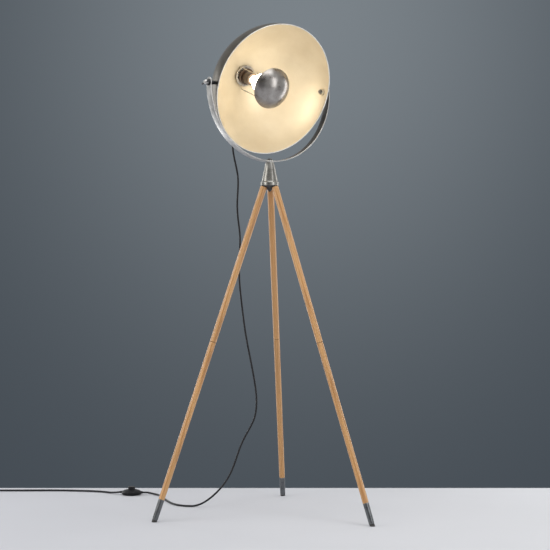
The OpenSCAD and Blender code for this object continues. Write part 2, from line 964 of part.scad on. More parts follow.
// Flat moulded body with a tapered sleeve for the flex.
module plug_body() {
    color(black)
    difference() {
        union() {
            linear_extrude(plug_t)
            polygon([
                [plug_x - 7, plug_back_y], [plug_x + 7, plug_back_y],
                [plug_x + 12, plug_back_y - 6], [plug_x + plug_half_w, plug_back_y - 22],
                [plug_x + plug_half_w, plug_face_y + 2], [plug_x + plug_half_w - 2, plug_face_y],
                [plug_x - plug_half_w + 2, plug_face_y], [plug_x - plug_half_w, plug_face_y + 2],
                [plug_x - plug_half_w, plug_back_y - 22], [plug_x - 12, plug_back_y - 6]
            ]);
            translate([plug_x, plug_back_y - 1, plug_t / 2])
            rotate([-90, 0, 0])
            cylinder(r1 = 6, r2 = cord_r + 0.7, h = plug_relief_y - plug_back_y + 1);
        }
        plug_prongs(0.02);
        for (side = [-1, 1])
            translate([plug_x + side * pin_gap / 2, plug_face_y + pin_dish, plug_t / 2])
            rotate([90, 0, 0])
            cylinder(r = pin_r + 3, h = 1);
    }
}

module plug_pins() {
    color(steel)
    plug_prongs(0);
}

hub_cone();
hub_core();
leg_top_studs();
leg_joint_studs();
leg_joint_washers();
leg_upper(0);  // leg_upper_back
leg_upper(120);  // leg_upper_left
leg_upper(240);  // leg_upper_right
leg_lower(0);  // leg_lower_back
leg_lower(120);  // leg_lower_left
leg_lower(240);  // leg_lower_right
foot_ferrule(0);  // foot_ferrule_back
foot_ferrule(120);  // foot_ferrule_left
foot_ferrule(240);  // foot_ferrule_right
foot_pad(0);  // foot_pad_back
foot_pad(120);  // foot_pad_left
foot_pad(240);  // foot_pad_right
swivel_slide_washer();
swivel_spring_washer();
swivel_bolt();
yoke_band();
shade_dome();
pivot_spacers();
pivot_saddles();
pivot_washers();
pivot_nuts();
pivot_bolt();
knob_screw();
knob_bar();
knob_washer();
nipple();
nipple_nuts();
cord_gland();
holder_cap();
holder_body();
holder_ring();
holder_shell();
holder_contact();
bulb_cap();
bulb_contact();
bulb_glass();
bulb_mount();
cage_plate();
cage_wire(-102);  // cage_wire_low
cage_wire(18);  // cage_wire_right
cage_wire(138);  // cage_wire_left
bowl_reflector();
cord_upper();
cord_lower();
cord_lead();
cord_coil();
cord_tail();
switch_base();
switch_cover();
switch_inside();
switch_spring();
switch_bushings();
switch_button();
plug_body();
plug_pins();
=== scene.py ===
# %% [markdown]
# # A tripod floor lamp
# The lamp has a deep spun metal shade that hangs between the arms of a steel yoke. The yoke
# swivels on a turned metal hub, and three round beech legs screw into that hub from below.
# A small bowl in front of the bulb stops the glare and throws the light back into the shade.
#
# The engineering model of the lamp is already there: it gives every part its true size and
# place. This lesson dresses it. Each cell makes one piece or one finish, and the cell before it
# says what the piece is and why it is made this way. All lengths are in metres, and numbers
# that a maker would read off a drawing are written in millimetres and multiplied by MM.

import json
import math

import bpy
import numpy as np
from mathutils import Matrix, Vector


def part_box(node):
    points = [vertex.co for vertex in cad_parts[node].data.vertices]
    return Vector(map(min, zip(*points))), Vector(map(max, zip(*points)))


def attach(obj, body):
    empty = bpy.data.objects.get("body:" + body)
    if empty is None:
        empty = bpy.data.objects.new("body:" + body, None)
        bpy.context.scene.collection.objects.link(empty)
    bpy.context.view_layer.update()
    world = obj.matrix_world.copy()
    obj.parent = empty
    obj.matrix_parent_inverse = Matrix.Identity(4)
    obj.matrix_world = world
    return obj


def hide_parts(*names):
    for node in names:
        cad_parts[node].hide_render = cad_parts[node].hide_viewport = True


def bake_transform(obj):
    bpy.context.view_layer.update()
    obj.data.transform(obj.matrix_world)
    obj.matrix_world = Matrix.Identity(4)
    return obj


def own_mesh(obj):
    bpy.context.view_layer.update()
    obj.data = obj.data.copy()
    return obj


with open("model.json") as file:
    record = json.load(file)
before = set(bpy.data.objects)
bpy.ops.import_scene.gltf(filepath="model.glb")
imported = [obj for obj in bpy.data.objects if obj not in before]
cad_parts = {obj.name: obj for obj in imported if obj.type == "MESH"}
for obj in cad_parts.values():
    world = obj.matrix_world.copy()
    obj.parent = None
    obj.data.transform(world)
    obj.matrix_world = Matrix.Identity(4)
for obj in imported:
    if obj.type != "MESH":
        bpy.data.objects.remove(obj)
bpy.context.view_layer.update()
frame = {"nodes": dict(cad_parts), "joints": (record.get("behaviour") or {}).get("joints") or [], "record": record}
MM = 0.001

# %% [markdown]
# ## Frames of reference
# Nearly every part of a lamp is turned, spun or drawn, so it is simple in a frame of its own: an
# axis to turn about and a distance along it. A placing matrix carries such a part into the room.
# The head's frame starts at the pivot: X runs along the pivot, Y is up and Z is where it faces.
# A leg's frame starts on the floor and Z runs up the leg.

# %% Placing matrices


def unit(v):
    """A vector divided by its own length."""
    v = np.asarray(v, float)
    return v / np.linalg.norm(v, axis=-1, keepdims=True)


def placing(origin, forward, side):
    """A 4 by 4 matrix whose Z column is forward, whose X column is side made square to it,
    side - (side . forward) forward, and whose Y column is forward x side."""
    z = unit(forward)
    x = unit(np.asarray(side, float) - np.dot(side, z) * z)
    made = np.eye(4)
    made[:3, :3] = np.stack([x, np.cross(z, x), z], axis=1)
    made[:3, 3] = origin
    return made


def placed(points, place):
    """Points p carried by a placing matrix: R p + origin."""
    return np.asarray(points, float) @ place[:3, :3].T + place[:3, 3]


def middle(node):
    """The centre of a node's box, which for a turned part lies on its axis."""
    low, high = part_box(node)
    return (np.array(low) + np.array(high)) / 2


joints = {joint["name"]: joint for joint in frame["joints"]}
mounts = {mount["name"]: np.array(mount["pos_m"]) for mount in frame["record"]["mounts"]}
PIVOT = np.array(joints["head_tilt"]["pos_m"])
PIVOT_AXIS = unit(joints["head_tilt"]["axis"])
FACING = unit(PIVOT - middle("nipple"))
head = placing(PIVOT, FACING, PIVOT_AXIS)
upright = np.array([0.0, 0.0, 1.0])
hub = placing((0, 0, 0), upright, (1, 0, 0))
yoke = placing(PIVOT, upright, PIVOT_AXIS)
legs = {}
for name in ("back", "left", "right"):
    foot = mounts["foot_" + name]
    legs[name] = placing(foot, middle("leg_upper_" + name) - foot, np.cross(upright, foot))
print("the head faces", np.round(FACING, 3), "and leans", round(math.degrees(math.asin(-FACING[2])), 1))

# %% [markdown]
# ## The camera
# A tall thin lamp looks best from far away through a long lens, level and at half the lamp's
# height, so that the legs don't converge. The camera therefore stands over four metres off, a
# little to the right, and looks past the lamp towards the wall.

# %% Camera
CAMERA_AT = np.array([0.5113, -4.3581, 0.7175])
CAMERA_TURN = math.radians(6.485)  # from straight ahead, towards the left
CAMERA_RISE = math.radians(0.035)
view_from = bpy.data.cameras.new("camera")
view_from.sensor_width = 36
view_from.lens = 95.2
camera = bpy.data.objects.new("camera", view_from)
camera.location = CAMERA_AT
camera.rotation_euler = (math.pi / 2 + CAMERA_RISE, 0, CAMERA_TURN)
bpy.context.scene.collection.objects.link(camera)
bpy.context.scene.camera = camera
looking = np.array([-math.sin(CAMERA_TURN), math.cos(CAMERA_TURN), 0.0])
print("camera", round(float(np.linalg.norm(CAMERA_AT[:2])), 2), "m from the lamp's axis")

# %% [markdown]
# ## Tools for finishes
# A finish is a small network of nodes that ends in one Principled shader. Three short helpers
# keep each network readable: one adds a node and wires it up, one makes a colour ramp, and one
# starts a node group, which is a piece of network that several finishes share.

# %% Node helpers


def add(tree, kind, settings=None, **sockets):
    """Adds a shader node. settings are the node's own choices. Each socket is given by its name,
    with _ for a space, or by number as in0, in1, and takes a value or another node's output."""
    node = tree.nodes.new("ShaderNode" + kind)
    for key, value in (settings or {}).items():
        setattr(node, key, value)
    for key, value in sockets.items():
        numbered = key.startswith("in") and key[2:].isdigit()
        socket = node.inputs[int(key[2:]) if numbered else key.replace("_", " ")]
        if isinstance(value, bpy.types.NodeSocket):
            tree.links.new(value, socket)
        else:
            socket.default_value = value
    return node


def sums(tree, operation, a, b=0.0, c=0.0):
    """One step of arithmetic on up to three numbers; only MULTIPLY_ADD, a b + c, uses the third."""
    node = add(tree, "Math", {"operation": operation}, in0=a, in1=b)
    if operation == "MULTIPLY_ADD":
        node.inputs[2].default_value = c
    return node.outputs[0]


def ramp(tree, factor, *stops):
    """A colour ramp. Each stop is (place, colour), and a single number stands for a grey."""
    node = add(tree, "ValToRGB", Fac=factor)
    bar = node.color_ramp.elements
    while len(bar) < len(stops):
        bar.new(0.5)
    for element, (place, colour) in zip(bar, stops):
        element.position = place
        grey = isinstance(colour, (int, float))
        element.color = (colour,) * 3 + (1,) if grey else (*colour, 1)
    return node.outputs["Color"]


def between(tree, factor, a, b, mode="MIX"):
    """Two colours mixed by a factor, or combined by another mode."""
    choices = {"data_type": "RGBA", "blend_type": mode}
    return add(tree, "Mix", choices, in0=factor, in6=a, in7=b).outputs[2]


def noise(tree, place, scale, detail=3.0, roughness=0.5):
    """A noise pattern from 0 to 1 over the given place."""
    sockets = {"Vector": place, "Scale": scale, "Detail": detail, "Roughness": roughness}
    return add(tree, "TexNoise", **sockets).outputs["Fac"]


def stretched(tree, place, scale):
    """The same place with each direction scaled, so that a pattern on it is drawn out."""
    return add(tree, "Mapping", Vector=place, Scale=scale).outputs["Vector"]


def new_group(name, inputs, outputs):
    """Starts a node group. inputs are (name, socket type, value) and outputs (name, type)."""
    tree = bpy.data.node_groups.new(name, "ShaderNodeTree")
    for label, kind, value in inputs:
        socket = tree.interface.new_socket(label, in_out="INPUT", socket_type="NodeSocket" + kind)
        socket.default_value = value
    for label, kind in outputs:
        tree.interface.new_socket(label, in_out="OUTPUT", socket_type="NodeSocket" + kind)
    return tree, tree.nodes.new("NodeGroupInput"), tree.nodes.new("NodeGroupOutput")


def new_finish(name):
    """A material with one Principled shader: (material, node tree, shader)."""
    made = bpy.data.materials.new(name)
    made.use_nodes = True
    return made, made.node_tree, made.node_tree.nodes["Principled BSDF"]


def plug_in(tree, node, **sockets):
    """Sets sockets of a node that is already there, to values or to other nodes' outputs."""
    for key, value in sockets.items():
        socket = node.inputs[key.replace("_", " ")]
        if isinstance(value, bpy.types.NodeSocket):
            tree.links.new(value, socket)
        else:
            socket.default_value = value


def bumped(tree, height, depth, strength=1.0):
    """A surface normal bent by a height pattern that is depth metres deep."""
    return add(tree, "Bump", Height=height, Distance=depth, Strength=strength).outputs["Normal"]


print("node helpers ready")

# %% [markdown]
# ## Effects that several finishes share
# Four effects turn up again and again. *Brush marks* are the fine lines that a lathe, a spinning
# tool or a belt leaves; they run one way and vary quickly across it. *Mottle* is the cloudy
# change of tone in a patinated or lacquered surface. *Edge wear* is the brighter metal where a
# coating has rubbed thin. *Moulded skin* is the fine grain that a mould leaves in plastic and
# rubber. Each is a node group, so that one change shows on every part.
#
# The pieces carry the attributes that these groups read. `local` is the place in the piece's own
# frame, `lay` has its third number running across the brush marks in millimetres, and `edge`
# is 1 on a rounded edge and 0 elsewhere.

# %% Shared effects
brush_marks, given, gives = new_group(
    "brush_marks",
    [("Lay", "Vector", (0, 0, 0)), ("Fineness", "Float", 6.0)],
    [("Lines", "Float")],
)
fine = add(brush_marks, "VectorMath", {"operation": "MULTIPLY"}, in0=given.outputs["Lay"],
           in1=add(brush_marks, "CombineXYZ", X=0.9, Y=0.9, Z=given.outputs["Fineness"]).outputs[0])
lines = noise(brush_marks, fine.outputs[0], 1.0, detail=4.0, roughness=0.75)
brush_marks.links.new(ramp(brush_marks, lines, (0.3, 0.0), (0.7, 1.0)), gives.inputs["Lines"])

mottle, given, gives = new_group(
    "mottle",
    [("Place", "Vector", (0, 0, 0)), ("Size", "Float", 60.0)],
    [("Clouds", "Float")],
)
clouds = noise(mottle, given.outputs["Place"], given.outputs["Size"], detail=6.0, roughness=0.6)
mottle.links.new(ramp(mottle, clouds, (0.36, 0.0), (0.66, 1.0)), gives.inputs["Clouds"])

edge_wear, given, gives = new_group(
    "edge_wear",
    [("Edge", "Float", 0.0), ("Place", "Vector", (0, 0, 0)), ("Amount", "Float", 0.5)],
    [("Worn", "Float")],
)
patchy = noise(edge_wear, given.outputs["Place"], 140.0, detail=4.0, roughness=0.7)
reach = sums(edge_wear, "ADD", patchy, given.outputs["Amount"])
near_edge = sums(edge_wear, "MULTIPLY", given.outputs["Edge"], reach)
edge_wear.links.new(ramp(edge_wear, near_edge, (0.62, 0.0), (0.9, 1.0)), gives.inputs["Worn"])

moulded_skin, given, gives = new_group(
    "moulded_skin",
    [("Place", "Vector", (0, 0, 0)), ("Grain", "Float", 1400.0)],
    [("Height", "Float"), ("Sheen", "Float")],
)
pits = noise(moulded_skin, given.outputs["Place"], given.outputs["Grain"], detail=2.0)
hand = noise(moulded_skin, given.outputs["Place"], 45.0, detail=3.0)
moulded_skin.links.new(pits, gives.inputs["Height"])
moulded_skin.links.new(hand, gives.inputs["Sheen"])


def effect(tree, group, **sockets):
    """Places a shared effect in a finish with its own values."""
    return add(tree, "Group", {"node_tree": group}, **sockets)


def where(tree, cad=False):
    """The three patterns' places: (local, lay, edge). An engineering part has no attributes of
    its own, so it reads its Object coordinates instead, in millimetres for the lay."""
    if cad:
        place = add(tree, "TexCoord").outputs["Object"]
        return place, stretched(tree, place, (20, 20, 1000)), 0.0
    return (
        add(tree, "Attribute", {"attribute_name": "local"}).outputs["Vector"],
        add(tree, "Attribute", {"attribute_name": "lay"}).outputs["Vector"],
        add(tree, "Attribute", {"attribute_name": "edge"}).outputs["Fac"],
    )


print("shared effects:", ", ".join(group.name for group in bpy.data.node_groups))

# %% [markdown]
# ## Two families of finish
# Most of the lamp is either metal or a moulded material, so two functions make nearly all the
# finishes. The metal has brush marks, clouds in its tone and worn edges. The moulded one has a
# grain that is only a few hundredths of a millimetre deep and a sheen that changes slowly, as if
# it had been handled.

# %% Metal and moulded finishes


def metal(name, dark, light, worn, rough=0.34, fineness=6.0, wear=0.3, clouds=60.0, cad=False,
          metallic=1.0, depth=0.00002):
    """A metal finish between two tones. Roughness follows the clouds and the brush marks."""
    made, tree, shader = new_finish(name)
    place, lay, edge = where(tree, cad)
    patches = effect(tree, mottle, Place=place, Size=clouds)
    marks = effect(tree, brush_marks, Lay=lay, Fineness=fineness).outputs["Lines"]
    rubbed = effect(tree, edge_wear, Edge=edge, Place=place, Amount=wear).outputs["Worn"]
    tone = between(tree, patches.outputs["Clouds"], (*dark, 1), (*light, 1))
    streak = ramp(tree, marks, (0.0, 0.82), (1.0, 1.0))
    tone = between(tree, 1.0, tone, streak, "MULTIPLY")
    tone = between(tree, rubbed, tone, (*worn, 1))
    uneven = sums(tree, "MULTIPLY_ADD", patches.outputs["Clouds"], 0.10, rough - 0.05)
    uneven = sums(tree, "ADD", uneven, sums(tree, "MULTIPLY", marks, 0.06))
    normal = bumped(tree, marks, depth, 0.6)
    plug_in(tree, shader, Base_Color=tone, Roughness=uneven, Metallic=metallic, Normal=normal)
    return made


def moulded(name, colour, rough=0.5, grain=1400.0, depth=0.00006, gloss=0.5, coat=0.0, cad=False):
    """A plastic, rubber or bakelite finish with a fine grain."""
    made, tree, shader = new_finish(name)
    place, _, edge = where(tree, cad)
    skin = effect(tree, moulded_skin, Place=place, Grain=grain)
    rubbed = effect(tree, edge_wear, Edge=edge, Place=place, Amount=0.25).outputs["Worn"]
    paler = tuple(min(1.0, 1.6 * channel + 0.01) for channel in colour)
    tone = between(tree, skin.outputs["Sheen"], (*colour, 1), (*paler, 1))
    tone = between(tree, sums(tree, "MULTIPLY", rubbed, 0.35), tone, (0.16, 0.16, 0.16, 1))
    uneven = sums(tree, "MULTIPLY_ADD", skin.outputs["Sheen"], 0.16, rough - 0.08)
    normal = bumped(tree, skin.outputs["Height"], depth, 0.5)
    plug_in(tree, shader, Base_Color=tone, Roughness=uneven, Normal=normal)
    shader.inputs["Specular IOR Level"].default_value = gloss
    shader.inputs["Coat Weight"].default_value = coat
    return made


cord_sheath = moulded("cord_sheath", (0.006, 0.006, 0.008), rough=0.48, grain=900.0, gloss=0.3)
print("first finish:", cord_sheath.name)

# %% [markdown]
# ## From surfaces to meshes
# A surface here is a grid of points, worked out for all its points at once: rows run along the
# piece and columns go round it. The same few helpers join neighbouring points with faces, turn
# the faces outwards and hand the mesh to Blender. Faces point outwards when the enclosed volume,
# the sum of a . (b x c) / 6 over all triangles, comes out positive.

# %% Grid and mesh helpers
SHARP = math.radians(38)


def grid_faces(rows, columns, rows_wrap=False):
    """Four-sided faces of a grid whose columns close round the piece. Rows close too if asked."""
    row = np.arange(rows if rows_wrap else rows - 1)[:, None]
    column = np.arange(columns)[None, :]
    after, beside = (row + 1) % rows, (column + 1) % columns
    corners = [row * columns + column, row * columns + beside,
               after * columns + beside, after * columns + column]
    return np.stack([np.broadcast_to(c, (len(row), columns)) for c in corners], axis=-1).reshape(-1, 4)


def volume(points, faces):
    """Enclosed volume: the sum of a . (b x c) / 6 over the two triangles of each face."""
    a, b, c, d = (points[faces[:, i]] for i in range(4))
    return np.einsum("ij,ij->", a, np.cross(b, c) + np.cross(c, d)) / 6


def build(name, points, quads, body, finish, local=None, lay=None, edge=None, extra=(),
          replaces=(), slot=None, turned_over=None):
    """Makes a mesh piece that rides on a body. extra holds faces that aren't four-sided, such as
    end caps. Faces are turned outwards from the volume of the four-sided ones, or as told."""
    points = np.asarray(points, float).reshape(-1, 3)
    extra = [list(map(int, face)) for face in extra]
    centred = points - points.mean(axis=0)
    if turned_over is None:
        turned_over = volume(centred, quads) < 0
    if turned_over:
        quads = quads[:, ::-1]
        extra = [face[::-1] for face in extra]
    mesh = bpy.data.meshes.new(name)
    mesh.from_pydata(points.tolist(), [], quads.tolist() + extra)
    mesh.shade_smooth()
    mesh.set_sharp_from_angle(angle=SHARP)
    for label, values in (("local", local), ("lay", lay)):
        if values is not None:
            layer = mesh.attributes.new(label, "FLOAT_VECTOR", "POINT")
            layer.data.foreach_set("vector", np.asarray(values, np.float32).reshape(-1))
    if edge is not None:
        layer = mesh.attributes.new("edge", "FLOAT", "POINT")
        layer.data.foreach_set("value", np.asarray(edge, np.float32).reshape(-1))
    for item in finish if isinstance(finish, (list, tuple)) else [finish]:
        mesh.materials.append(item)
    piece = bpy.data.objects.new(name, mesh)
    bpy.context.scene.collection.objects.link(piece)
    if body:
        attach(piece, body)
    if replaces:
        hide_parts(*replaces)
    return piece


print("mesh helpers ready")

# %% [markdown]
# ## Turned and spun pieces
# A lathe makes most of this lamp: the outline of a part is turned about an axis. Real parts never
# have knife-sharp corners, so each corner of an outline carries a small radius. The outline's
# corners are written in millimetres as (radius from the axis, distance along it, corner radius).

# %% Turning helper
CORNER_STEPS = 5
LARGEST_FILLET = 0.48  # of the shorter side beside a corner
SAME_PLACE = 1e-6


def rounded_line(corners, closed):
    """An outline with rounded corners, and how far each point is into a corner, from 0 to 1.
    A corner P between A and B, each a fillet away along its sides, becomes the curve
    (1-k)^2 A + 2k(1-k) P + k^2 B for k from 0 to 1."""
    given = np.array([(*corner, 0)[:3] for corner in corners], float)
    at, fillet = given[:, :2], given[:, 2]
    before, after = np.roll(at, 1, axis=0), np.roll(at, -1, axis=0)
    if not closed:
        before[0], after[-1] = at[0], at[-1]
    to_before, to_after = before - at, after - at
    reach_before = np.linalg.norm(to_before, axis=1)
    reach_after = np.linalg.norm(to_after, axis=1)
    fillet = np.minimum(fillet, LARGEST_FILLET * np.minimum(reach_before, reach_after))
    start = at + to_before * (fillet / np.maximum(reach_before, SAME_PLACE))[:, None]
    end = at + to_after * (fillet / np.maximum(reach_after, SAME_PLACE))[:, None]
    k = np.linspace(0, 1, CORNER_STEPS)[None, :, None]
    curve = (1 - k) ** 2 * start[:, None] + 2 * k * (1 - k) * at[:, None] + k**2 * end[:, None]
    into = np.sin(np.pi * k[..., 0]) * (fillet > 0)[:, None]
    line, into = curve.reshape(-1, 2), into.reshape(-1)
    step = np.linalg.norm(np.diff(line, axis=0, prepend=line[:1] - 1), axis=1)
    keep = step > SAME_PLACE
    if closed and np.linalg.norm(line[0] - line[-1]) < SAME_PLACE:
        keep[-1] = False
    return line[keep], into[keep]


def turned(name, corners, place, body, finish, closed=False, around=72, reshape=None, line=None,
           grain=(0, 0, 0), **also):
    """Turns an outline about the Z axis of a placing matrix: the point (r, s) at angle a goes to
    (r cos a, r sin a, s). An open outline starts and ends on the axis, a closed one is a ring.
    reshape(r, a, s) may change the radius, for flutes, flats and threads. line gives a finished
    outline in place of corners, and grain shifts the place that the finish's pattern reads."""
    outline, into = line if line is not None else rounded_line(corners, closed)
    poles = not closed
    if poles:
        first, last = outline[0, 1], outline[-1, 1]
        outline, into = outline[1:-1], into[1:-1]
    angle = np.linspace(0, 2 * np.pi, around, endpoint=False)[None, :]
    radius, along = outline[:, :1] + 0 * angle, outline[:, 1:] + 0 * angle
    if reshape is not None:
        radius = reshape(radius, angle + 0 * radius, along)
    local = np.stack([radius * np.cos(angle), radius * np.sin(angle), along], axis=-1) * MM
    span = np.linalg.norm(np.diff(outline, axis=0, prepend=outline[:1]), axis=1)
    run = np.cumsum(span)[:, None] + 0 * angle
    lay = np.stack([np.cos(angle) + 0 * run, np.sin(angle) + 0 * run, run], axis=-1)
    edge = into[:, None] + 0 * angle
    rows = len(outline)
    quads = grid_faces(rows, around, rows_wrap=closed)
    local, lay, edge = local.reshape(-1, 3), lay.reshape(-1, 3), edge.reshape(-1)
    extra = []
    if poles:
        count = len(local)
        ends = np.array([[0, 0, first], [0, 0, last]]) * MM
        local = np.concatenate([local, ends])
        lay = np.concatenate([lay, [[1, 0, -outline[0, 0]], [1, 0, run.max() + outline[-1, 0]]]])
        edge = np.concatenate([edge, [0, 0]])
        column = np.arange(around)
        beside = (column + 1) % around
        near = np.stack([np.full(around, count), beside, column], axis=1)
        far_row = (rows - 1) * around
        far = np.stack([np.full(around, count + 1), far_row + column, far_row + beside], axis=1)
        extra = near.tolist() + far.tolist()
    return build(name, placed(local, place), quads, body, finish, local=local + np.array(grain),
                 lay=lay, edge=edge, extra=extra, **also)


print("turning helper ready")

# %% [markdown]
# ## Drawn and bent pieces
# Flex, wire and strip are one section carried along a line. A round section needs a side
# direction that doesn't spin as the line bends: each ring takes the last ring's side and only
# takes out the part that points along the line.

# %% Sweeping helper


def smooth_route(points, step):
    """A curve through all the points with no kink. Between two points it is the cubic whose
    slopes come from making the second derivative match at every point, a natural spline:
    h0 m0 + 2 (h0 + h1) m1 + h1 m2 = 6 ((p2 - p1) / h1 - (p1 - p0) / h0)."""
    p = np.asarray(points, float)
    h = np.linalg.norm(np.diff(p, axis=0), axis=1)
    count = len(p)
    matrix, right = np.eye(count), np.zeros((count, 3))
    inner = np.arange(1, count - 1)
    matrix[inner, inner - 1], matrix[inner, inner + 1] = h[:-1], h[1:]
    matrix[inner, inner] = 2 * (h[:-1] + h[1:])
    slope = np.diff(p, axis=0) / h[:, None]
    right[inner] = 6 * np.diff(slope, axis=0)
    m = np.linalg.solve(matrix, right)
    knots = np.concatenate([[0], np.cumsum(h)])
    at = np.linspace(0, knots[-1], int(knots[-1] / step) + 2)
    i = np.clip(np.searchsorted(knots, at, side="right") - 1, 0, count - 2)
    t, u = (at - knots[i])[:, None], (knots[i + 1] - at)[:, None]
    g = h[i][:, None]
    return (m[i] * u**3 + m[i + 1] * t**3) / (6 * g) + (
        (p[i] / g - m[i] * g / 6) * u + (p[i + 1] / g - m[i + 1] * g / 6) * t)


def length_of(path):
    """The sum of the distances between neighbouring points."""
    return float(np.linalg.norm(np.diff(path, axis=0), axis=1).sum())


def frames_along(path, first_side=(0.3, 1.0, 0.2)):
    """Tangent, side and third direction at each point of a path, with no twist."""
    tangent = unit(np.gradient(path, axis=0))
    side = np.empty_like(tangent)
    last = np.asarray(first_side, float)
    for i, direction in enumerate(tangent):
        last = last - np.dot(last, direction) * direction
        last = last / np.linalg.norm(last)
        side[i] = last
    return tangent, side, np.cross(tangent, side)


def swept(name, path, section, body, finish, sides=None, **also):
    """Carries a section along a path: point = path + a * side + b * third, where (a, b) are the
    section's numbers, given once or for each point of the path. Both ends are capped."""
    count, around = len(path), section.shape[-2]
    _, side, third = frames_along(path) if sides is None else sides
    section = np.broadcast_to(section, (count, around, 2))
    points = path[:, None] + section[..., :1] * side[:, None] + section[..., 1:] * third[:, None]
    run = np.concatenate([[0], np.cumsum(np.linalg.norm(np.diff(path, axis=0), axis=1))])
    width = np.linalg.norm(np.diff(section, axis=1, prepend=section[:, :1]), axis=2)
    across = np.cumsum(width, axis=1)
    lay = np.stack([run[:, None] * 30 + 0 * across, 0 * across, across / MM], axis=-1)
    faces = grid_faces(count, around)
    caps = [list(range(around))[::-1], list(range((count - 1) * around, count * around))]
    return build(name, points, faces, body, finish, local=points.reshape(-1, 3),
                 lay=lay.reshape(-1, 3), edge=also.pop("edge", np.zeros(points.size // 3)),
                 extra=caps, **also)


def disc(radius, around):
    """A round section of a given radius."""
    angle = np.linspace(0, 2 * np.pi, around, endpoint=False)
    return radius * np.stack([np.cos(angle), np.sin(angle)], axis=1)


print("sweeping helper ready")

# %% [markdown]
# ## The flex
# The flex is a round black lead, six millimetres thick. It leaves the strain relief at the back
# of the shade, turns over under its own weight, hangs behind the left of the tripod and reaches
# the floor, where it runs to a foot switch and on to the plug. The part of the flex that isn't in
# use is wound into a neat coil beside the plug. Its route is a list of given points, in
# the places where the lead was held, and the coil's turns follow a rule.
#
# Two joints move the hanging part, so it is made in two pieces that meet above the floor: an
# upper one from the head and a lower one down to the switch; neither is attached to a body.

# %% Hanging flex
FLEX_D = 6 * MM
FLEX_SIDES = 16
FLEX_STEP = 4 * MM
GLAND_BEHIND_PIVOT, STRAIGHT_OUT = 191.16 * MM, 10 * MM
gland_tip = PIVOT - FACING * GLAND_BEHIND_PIVOT
hanging = np.array([
    gland_tip / MM, (gland_tip - FACING * STRAIGHT_OUT) / MM, (-133, 152.5, 1357.5), (-141, 162, 1352),
    (-146, 168, 1341), (-147.5, 169.5, 1328), (-147.5, 169.5, 1312), (-146, 168, 1290),
    (-144, 165, 1250), (-142, 162, 1210), (-138, 158, 1160),
])
falling = np.array([
    (-134, 154, 1110), (-126, 150, 1070), (-118, 147, 1030), (-119, 144, 950), (-117, 143, 900),
    (-111, 142, 850), (-113, 142, 740), (-103, 142, 615), (-93, 142, 540), (-65, 144, 390),
    (-59, 145, 310), (-65, 145, 275), (-81, 144, 240), (-102, 140, 200), (-131, 133, 120),
    (-151, 128, 80), (-198, 116, 28), (-226, 107, 10), (-252, 101, 3), (-280, 103, 3),
    (-308, 122, 3), (-338, 168, 3), (-364, 226, 3), (-381, 268, 3), (-392, 294, 3),
    (-406, 319, 3), (-424, 332, 4), (-441, 333, 7), (-457, 330, 8),
])
lamp_flex = smooth_route(np.concatenate([hanging, falling]) * MM, FLEX_STEP)
lamp_flex[:, 2] = np.maximum(lamp_flex[:, 2], FLEX_D / 2)
seam = int(np.argmin(np.linalg.norm(lamp_flex - hanging[-1] * MM, axis=1)))
round_flex = disc(FLEX_D / 2, FLEX_SIDES)
tangents = frames_along(lamp_flex)
upper_flex = swept("flex_at_the_head", lamp_flex[:seam + 1], round_flex, None, cord_sheath,
                   sides=[t[:seam + 1] for t in tangents])
lower_flex = swept("flex_to_the_switch", lamp_flex[seam:], round_flex, None, cord_sheath,
                   sides=[t[seam:] for t in tangents])
for piece, node in ((upper_flex, "cord_upper"), (lower_flex, "cord_lower")):
    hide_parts(node)
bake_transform(upper_flex)
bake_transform(lower_flex)
print("lamp to switch:", round(length_of(lamp_flex), 3), "m")

# %% Flex to the plug, with its coil
COIL_AT = np.array([-982, 320])
COIL_TURNS = [(33, 3), (27, 3), (27, 9), (33, 9)]  # radius and height of each turn
COIL_WOUND = 3.25  # turns
COIL_STEPS = 60  # points in a turn
SLIDES_OVER = 1 / 6  # of a turn


def coil_path():
    """Three and a quarter turns, starting at the top of the circle and running anticlockwise.
    The radius and the height hold through a turn and slide to the next turn's values over its
    last sixth, by the curve 3 k^2 - 2 k^3."""
    turn = np.linspace(0, COIL_WOUND, int(COIL_WOUND * COIL_STEPS) + 1)
    last = len(COIL_TURNS) - 1
    here = np.minimum(turn.astype(int), last)
    k = np.clip((turn - here - (1 - SLIDES_OVER)) / SLIDES_OVER, 0, 1)[:, None]
    ease = 3 * k**2 - 2 * k**3
    values = np.array(COIL_TURNS, float)
    radius, height = (values[here] * (1 - ease) + values[np.minimum(here + 1, last)] * ease).T
    angle = np.pi / 2 + 2 * np.pi * turn
    return np.stack([COIL_AT[0] + radius * np.cos(angle), COIL_AT[1] + radius * np.sin(angle),
                     height], axis=1)


leading = np.array([
    (-533, 330, 8), (-548, 334, 6), (-572, 350, 3), (-615, 368, 3), (-675, 376, 3),
    (-745, 377, 3), (-815, 370, 3), (-880, 361, 3), (-935, 355, 3), (-982, 353, 3),
])
trailing = np.array([(-1015, 320, 9), (-1015, 305, 8), (-1015, 290, 7)])
coil = coil_path()
switch_to_coil = smooth_route(leading * MM, FLEX_STEP)
coil_to_plug = smooth_route(trailing * MM, FLEX_STEP)
plug_flex_path = np.concatenate([switch_to_coil, coil[1:] * MM, coil_to_plug[1:]])
plug_flex_path[:, 2] = np.maximum(plug_flex_path[:, 2], FLEX_D / 2)
plug_flex = swept("flex_to_the_plug", plug_flex_path, round_flex, "stand", cord_sheath,
                  replaces=("cord_lead", "cord_coil", "cord_tail"), slot="cord_sheath")
print("switch to plug:", round(length_of(plug_flex_path), 3), "m, of which",
      round(length_of(coil * MM), 3), "m in the coil")

